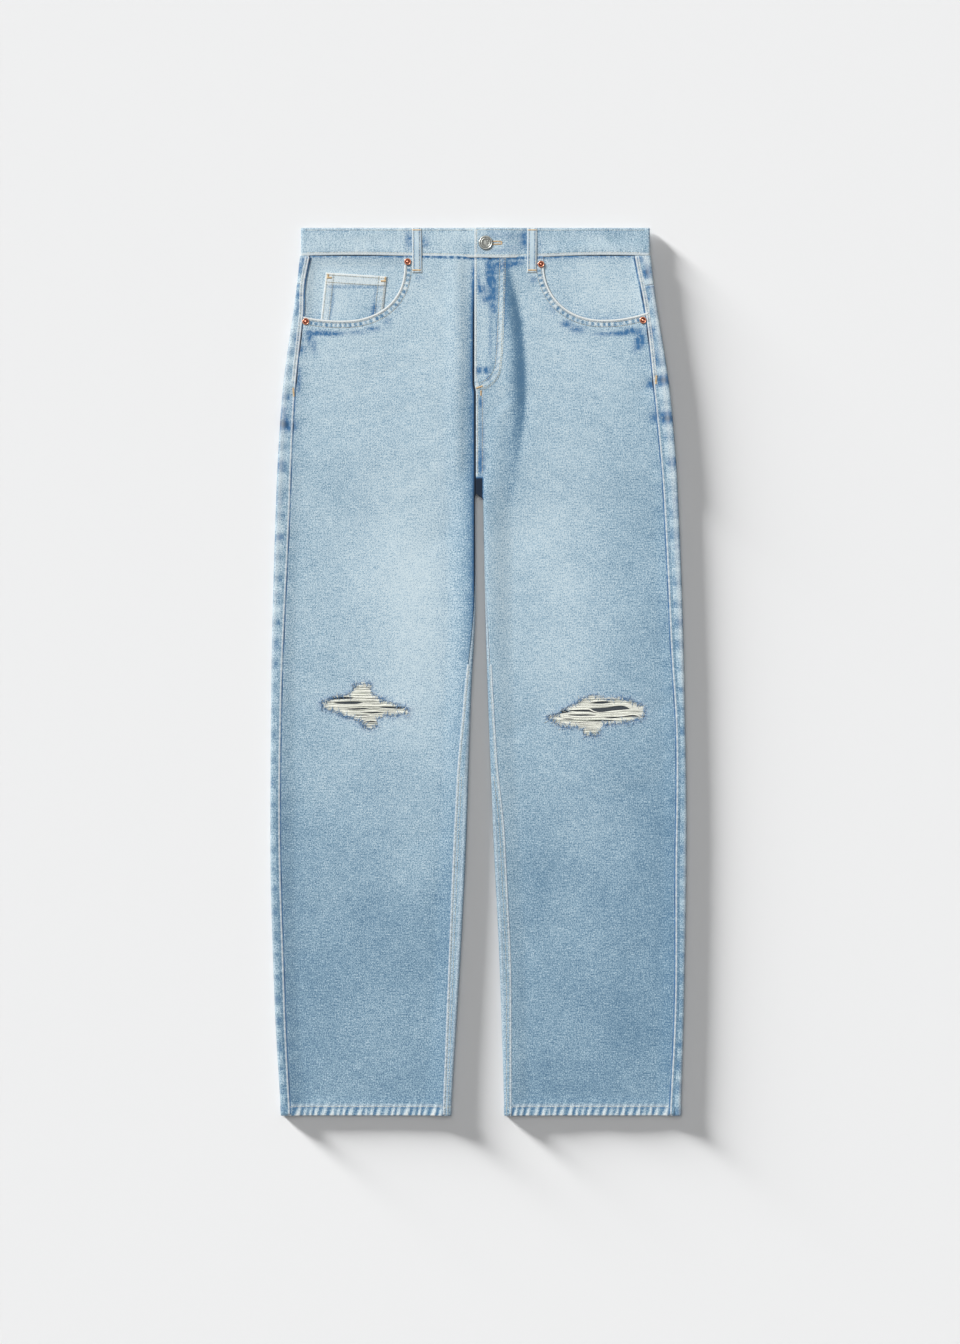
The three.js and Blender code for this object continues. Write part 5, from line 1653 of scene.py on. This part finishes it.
for side in (LEFT, RIGHT):
    name = side["name"]
    centre = side["loop_x"]
    U, V = np.meshgrid(np.linspace(-1, 1, 19), np.linspace(0, 1, 56))
    y = LOOP_LOW + (LOOP_HIGH - LOOP_LOW) * V
    x = centre + U * LOOP_WIDTH / 2 + side["sign"] * -0.6 * (1 - V)
    z = loop_rest(y) + 1.15 - 0.55 * np.abs(U) ** 6 - 0.5 * np.exp(-(y - LOOP_LOW) / 1.0)
    z = z - 0.26 * bell(np.abs(U) - 0.60, 0.10) + 0.16 * bell(np.abs(U) - 0.82, 0.12)
    z = z - 0.6 * np.exp(-(LOOP_HIGH - y) / 1.4) - 0.25 * bell(y - LOOP_LOW - 4.2, 1.0)
    rib = ripple(97 + side["sign"], 3.4)(y)
    tone = 0.86 + 0.08 * rib * smooth((np.abs(U) - 0.5) / 0.2) - 0.12 * bell(np.abs(U) - 0.55, 0.12)
    worn = 0.75 * smooth((np.abs(U) - 0.78) / 0.16) + 0.25 * np.exp(-(LOOP_HIGH - y) / 2)
    worn = worn + 0.35 * np.exp(-(y - LOOP_LOW) / 4)
    blue = 0.85 * bell(np.abs(U) - 0.60, 0.14) * (0.8 + 0.4 * rib)
    piece = weld_grid(f"denim_belt_loop_front_{name}", np.stack([x, y, z], axis=-1),
                      np.stack([x + 600, y], axis=-1), paint(tone, blue, worn), wall=1.2,
                      look=loop_look)
    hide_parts(f"belt_loop_front_{name}")
    rows = []
    for seed, row_x in ((311, centre - 3.6), (312, centre + 3.6)):
        rows += stitches([(row_x, LOOP_LOW + 5), (row_x, LOOP_HIGH - 2)], loop_top, seed)
    bars = bartack(centre, LOOP_LOW + 3.0, 9.6, 2.0, 0, loop_top, 313)
    bars += bartack(centre, LOOP_HIGH - 2.4, 9.6, 1.8, 0, lambda px, py: loop_top(px, py) - 0.2, 314)
    sewing = strands(f"loop_stitching_{name}", rows, faded_thread)
    tacks = strands(f"loop_bartacks_{name}", bars, tan_thread)

BACK_LOOPS = {"left": -150.0, "centre": 0.0, "right": 150.0}
BACK_LOOP_HIGH = 531.4
for name, centre in BACK_LOOPS.items():
    u, v = np.meshgrid(np.linspace(-1, 1, 15), np.linspace(0, 1, 50))
    x = centre + u * LOOP_WIDTH / 2
    y = LOOP_LOW + (BACK_LOOP_HIGH - LOOP_LOW) * v
    z = 0.02 + 0.30 * np.abs(u) ** 6 + 0.18 * bell(np.abs(u) - 0.6, 0.12)
    worn = 0.7 * smooth((np.abs(u) - 0.78) / 0.16)
    piece = weld_grid(f"denim_belt_loop_back_{name}", np.stack([x, y, z], axis=-1),
                      np.stack([x + 900, y], axis=-1), paint(0.68, 0, worn), (0, 0, -1),
                      wall=0.9, look=loop_look)
    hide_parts(f"belt_loop_back_{name}")

# ------------------------------------------------------------------ bared threads and frays
# Where the knees are torn the warp is gone and the ecru weft still spans the hole, slack and
# bunched. Round the rim stand broken ends, blue from the warp and pale from the weft.

ecru_yarn = yarn_material("ecru_yarn", linear(182, 190, 176), linear(255, 255, 246))
blue_yarn = yarn_material("blue_yarn", linear(76, 130, 180), linear(200, 222, 234))

# Slits between the bunches of weft: middle x, y, half length, half width, slope.
SLITS = {
    "left": [(-167, -32.4, 19, 1.7, 0.05), (-157, -38.0, 19, 1.5, -0.05), (-103, -43.5, 16, 1.2, -0.10),
             (-128, -49.5, 15, 0.9, 0.04), (-146, -45.0, 14, 0.9, -0.04), (-130, -60, 8, 0.7, 0.0),
             (-140, -52.5, 10, 0.8, 0.1)],
    "right": [(101, -48.5, 9, 2.0, 0.30), (130, -47.5, 25, 1.3, -0.03), (158, -45.0, 24, 2.7, 0.20),
              (147, -37.2, 12, 1.5, 0.05), (172, -54.5, 22, 0.7, 0.20), (108, -57, 9, 0.9, 0.0),
              (124, -52.5, 18, 0.9, 0.02), (150, -59.0, 18, 0.9, 0.0)],
}


def spans(outline, level):
    """Where a level line runs inside an outline."""
    nxt = np.roll(outline, -1, axis=0)
    crossing = (outline[:, 1] > level) != (nxt[:, 1] > level)
    a, b = outline[crossing], nxt[crossing]
    xs = np.sort(a[:, 0] + (level - a[:, 1]) / (b[:, 1] - a[:, 1]) * (b[:, 0] - a[:, 0]))
    return [(xs[i], xs[i + 1]) for i in range(0, len(xs) - 1, 2)]


def part_round_slits(x, y, slits):
    """Threads are pushed apart above and below each slit, and crowd together beside it."""
    for cx, cy, half_length, half_width, slope in slits:
        middle = cy + slope * (x - cx)
        open_here = np.clip(1 - ((x - cx) / half_length) ** 2, 0, 1) ** 0.8
        over = 1 if np.interp(cx, x, y) >= cy else -1
        apart = over * (y - middle)
        push = half_width * open_here * np.exp(-np.maximum(apart, 0) / (2.6 + half_width))
        strayed = np.clip(1.1 * open_here, 0, 0.9) * np.maximum(-apart, 0)
        y = y + over * (push + strayed)
    return y


def spanning_threads(side, rng):
    """Slack rows of weft from rim to rim, closer and paler in the bunches."""
    outline = torn[side["name"]]
    lowest, highest = outline[:, 1].min(), outline[:, 1].max()
    bunching = ripple(214 + side["sign"], 1.7)
    routes = []
    level = lowest + 0.4
    while level < highest - 0.4:
        for start, end in spans(outline, level):
            if end - start < 3:
                continue
            count = max(6, int((end - start) / 2.6))
            x = np.linspace(start - 1.8, end + 1.8, count)
            sway = rng.uniform(0.1, 0.55) * np.sin(x / rng.uniform(7, 20) + rng.uniform(0, 6))
            y = level + sway + rng.normal(0, 0.05, count)
            y = part_round_slits(x, y, SLITS[side["name"]])
            middle = (x - start) / (end - start)
            arch = np.clip(4 * middle * (1 - middle), 0, 1)
            z = 2.0 + arch * (0.3 + 0.9 * bunching(level + 40)) + rng.normal(0, 0.05, count)
            radius = rng.uniform(0.27, 0.40)
            bunch = 0.80 + 0.40 * bunching(level)
            shade = np.clip(bunch + rng.normal(0, 0.14), 0.05, 1.0)
            routes.append((np.stack([x, y, z], axis=1), radius, shade))
        level += rng.uniform(0.40, 0.66)
    return routes


def frayed_ends(side, rng):
    """Broken warp and weft ends round the rim, into the hole and out over the cloth."""
    outline = torn[side["name"]]
    following = np.roll(outline, -1, axis=0)
    run = np.hypot(*(following - outline).T)
    inward = np.stack([outline[:, 1] - following[:, 1], following[:, 0] - outline[:, 0]], axis=1)
    inward /= run[:, None] + 1e-9
    probe = (outline + following) / 2 + inward * 0.6
    gap = outline_distance(outline, probe[:, 0], probe[:, 1])[0]
    inward *= np.where(gap < 0, 1, -1)[:, None]
    upright = np.abs(following[:, 0] - outline[:, 0]) / (run + 1e-9)
    into_hole = np.repeat(np.arange(len(outline)), rng.poisson(run * (2.6 * upright + 0.8)))
    onto_cloth = np.repeat(np.arange(len(outline)), rng.poisson(run * 0.6))
    fringes = []
    for pick, way_sign, swing, length in ((into_hole, 1, 0.30, 0.95), (onto_cloth, -1, 0.7, 0.75)):
        count = len(pick)
        root = outline[pick] + (following - outline)[pick] * rng.uniform(0, 1, (count, 1))
        reach = rng.gamma(2.2, length, count) * (0.7 + 0.6 * upright[pick])
        way = way_sign * inward[pick] + rng.normal(0, swing, (count, 2))
        way /= np.hypot(way[:, 0], way[:, 1])[:, None]
        bend = rng.normal(0, 0.35, count) * reach
        out = np.linspace(-0.25, 1, 5)
        px = root[:, :1] + way[:, :1] * reach[:, None] * out - way[:, 1:] * bend[:, None] * out**2
        py = root[:, 1:] + way[:, 1:] * reach[:, None] * out + way[:, :1] * bend[:, None] * out**2
        if way_sign > 0:
            base = np.repeat(front_top(side, root[:, 0], root[:, 1])[:, None], 5, axis=1) - 0.2
        else:
            base = front_top(side, px, py) + 0.1
        pz = base + rng.uniform(0.2, 1.2, (count, 1)) * np.sin(np.pi * np.clip(out, 0, 1) * 0.7)
        fringes.append((np.stack([px, py, pz], axis=-1), way_sign))
    warp_ends, weft_ends = [], []
    for places, way_sign in fringes:
        for line in places:
            warp = rng.uniform() < (0.85 if way_sign > 0 else 0.80)
            shade = rng.uniform(0.0, 0.50) if warp else rng.uniform(0.55, 1.0)
            (warp_ends if warp else weft_ends).append((line, rng.uniform(0.20, 0.32), shade))
    return warp_ends, weft_ends


for side in (LEFT, RIGHT):
    name = side["name"]
    rng = np.random.default_rng(210 + side["sign"])
    bared = strands(f"bared_weft_{name}", spanning_threads(side, rng), ecru_yarn, sides=5)
    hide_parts(f"rip_threads_{name}")
    warp_ends, weft_ends = frayed_ends(side, rng)
    for label, routes, look in (("warp", warp_ends, blue_yarn), ("weft", weft_ends, ecru_yarn)):
        strands(f"frayed_{label}_{name}", routes, look, sides=3)

# ------------------------------------------------------------------ rivets
# Copper rivets at both ends of each pocket opening: a rolled rim, a sunk floor and a small nub
# where the post was hammered over, dulled in the hollows.


def patina(name, bright, dull, metal, rough, scale, low, high):
    """Worn metal: bright where it is rubbed, dull in blotches and in the hollows below."""
    material = bpy.data.materials.new(name)
    material.use_nodes = True
    tree = material.node_tree
    shader = tree.nodes["Principled BSDF"]
    shader.inputs["Metallic"].default_value = metal
    places = tree.nodes.new("ShaderNodeTexCoord")
    blotch = noise_node(tree, places.outputs["Object"], scale, 4.0, roughness=0.65)
    apart = tree.nodes.new("ShaderNodeSeparateXYZ")
    tree.links.new(places.outputs["Object"], apart.inputs[0])
    span = (high - low) * MM
    raised = math_node(tree, "MULTIPLY_ADD", apart.outputs["Z"], 1 / span, -low * MM / span)
    share = math_node(tree, "MULTIPLY_ADD", blotch, 2.2, -1.1)
    share = math_node(tree, "ADD", share, raised)
    limit = tree.nodes.new("ShaderNodeClamp")
    tree.links.new(share, limit.inputs[0])
    tree.links.new(mix_colour(tree, limit.outputs[0], dull, bright), shader.inputs["Base Color"])
    tree.links.new(math_node(tree, "MULTIPLY_ADD", limit.outputs[0], -0.2, rough),
                   shader.inputs["Roughness"])
    return material


def turned(name, place, rings, look, sides=40):
    """A round metal piece raised ring by ring from its foot; a ring is (radius, height)."""
    bpy.ops.object.select_all(action="DESELECT")
    bpy.ops.mesh.primitive_circle_add(vertices=sides, radius=rings[0][0] * MM, fill_type="NGON",
                                      location=(0, 0, 0))
    piece = bpy.context.object
    piece.name = name
    bpy.ops.object.mode_set(mode="EDIT")
    bpy.ops.mesh.select_all(action="SELECT")
    start = (place[0] * MM, place[1] * MM, rings[0][1] * MM)
    bpy.ops.transform.translate(value=start)
    for (r0, z0), (r1, z1) in zip(rings, rings[1:]):
        bpy.ops.mesh.extrude_region_move(TRANSFORM_OT_translate={"value": (0, 0, (z1 - z0) * MM)})
        bpy.ops.transform.resize(value=(r1 / r0, r1 / r0, 1),
                                 center_override=(start[0], start[1], z1 * MM))
    bpy.ops.mesh.select_all(action="SELECT")
    bpy.ops.mesh.normals_make_consistent(inside=False)
    bpy.ops.mesh.faces_shade_smooth()
    bpy.ops.object.mode_set(mode="OBJECT")
    piece.data.materials.append(look)
    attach(piece, "root")
    return piece


RIVETS = {"upper_left": (-84.9, 491.3), "lower_left": (-207.2, 419.6),
          "upper_right": (75.0, 488.4), "lower_right": (197.2, 421.2)}
RIVET_RINGS = [(3.4, 7.7), (4.0, 7.8), (4.15, 8.2), (4.15, 8.9), (3.95, 9.4), (3.5, 9.65),
               (3.1, 9.6), (2.8, 9.3), (2.6, 8.85), (2.2, 8.75), (1.75, 8.8), (1.55, 9.1),
               (1.4, 9.5), (1.05, 9.8), (0.5, 9.95), (0.12, 9.98)]
copper = patina("worn_copper", linear(236, 164, 134), linear(96, 36, 26), 0.8, 0.42, 700.0,
                8.75, 9.6)
for label, place in RIVETS.items():
    rivet = turned(f"rivet_copper_{label}", place, RIVET_RINGS, copper)
    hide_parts(f"rivet_{label}")

# ------------------------------------------------------------------ button
# A pewter shank button, its rim rolled over a shallow dished face with a worn beaded ring.

BUTTON_RINGS = [(2.4, 7.4), (2.7, 7.6), (2.7, 10.0), (3.2, 10.3), (7.4, 10.4), (8.2, 10.6),
                (8.5, 11.0), (8.5, 11.6), (8.3, 12.1), (7.9, 12.4), (7.35, 12.5), (6.9, 12.4),
                (6.6, 12.15), (6.4, 12.0), (5.9, 11.95), (5.5, 12.1), (5.1, 12.2), (4.7, 12.1),
                (4.4, 11.95), (3.0, 12.05), (1.5, 12.12), (0.2, 12.14)]
pewter = patina("worn_pewter", linear(188, 190, 184), linear(74, 76, 74), 0.80, 0.50, 420.0,
                11.7, 12.4)
button = turned("pewter_button", (BUTTON_X, BUTTON_Y), BUTTON_RINGS, pewter, sides=64)
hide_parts("button")
BEAD_COUNT = 26
BEAD_RADIUS = 0.42
BEAD_CIRCLE = 3.7
BEAD_LEVEL = 12.05
beads = []
for number in range(BEAD_COUNT):
    angle = number / BEAD_COUNT * 2 * math.pi
    bpy.ops.object.select_all(action="DESELECT")
    bpy.ops.mesh.primitive_ico_sphere_add(subdivisions=1, radius=BEAD_RADIUS * MM, location=(0, 0, 0))
    bead = bpy.context.object
    bead.name = f"button_bead_{number}"
    bpy.ops.object.mode_set(mode="EDIT")
    bpy.ops.transform.resize(value=(1.25, 1.25, 0.6))
    bpy.ops.transform.translate(value=((BUTTON_X + BEAD_CIRCLE * math.cos(angle)) * MM,
                                       (BUTTON_Y + BEAD_CIRCLE * math.sin(angle)) * MM,
                                       BEAD_LEVEL * MM))
    bpy.ops.mesh.faces_shade_smooth()
    bpy.ops.object.mode_set(mode="OBJECT")
    bead.data.materials.append(pewter)
    beads.append(bead)
for bead in beads:
    bead.select_set(True)
bead_ring = beads[0]
bpy.context.view_layer.objects.active = bead_ring
bpy.ops.object.join()
bead_ring.name = "button_beads"
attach(bead_ring, "root")
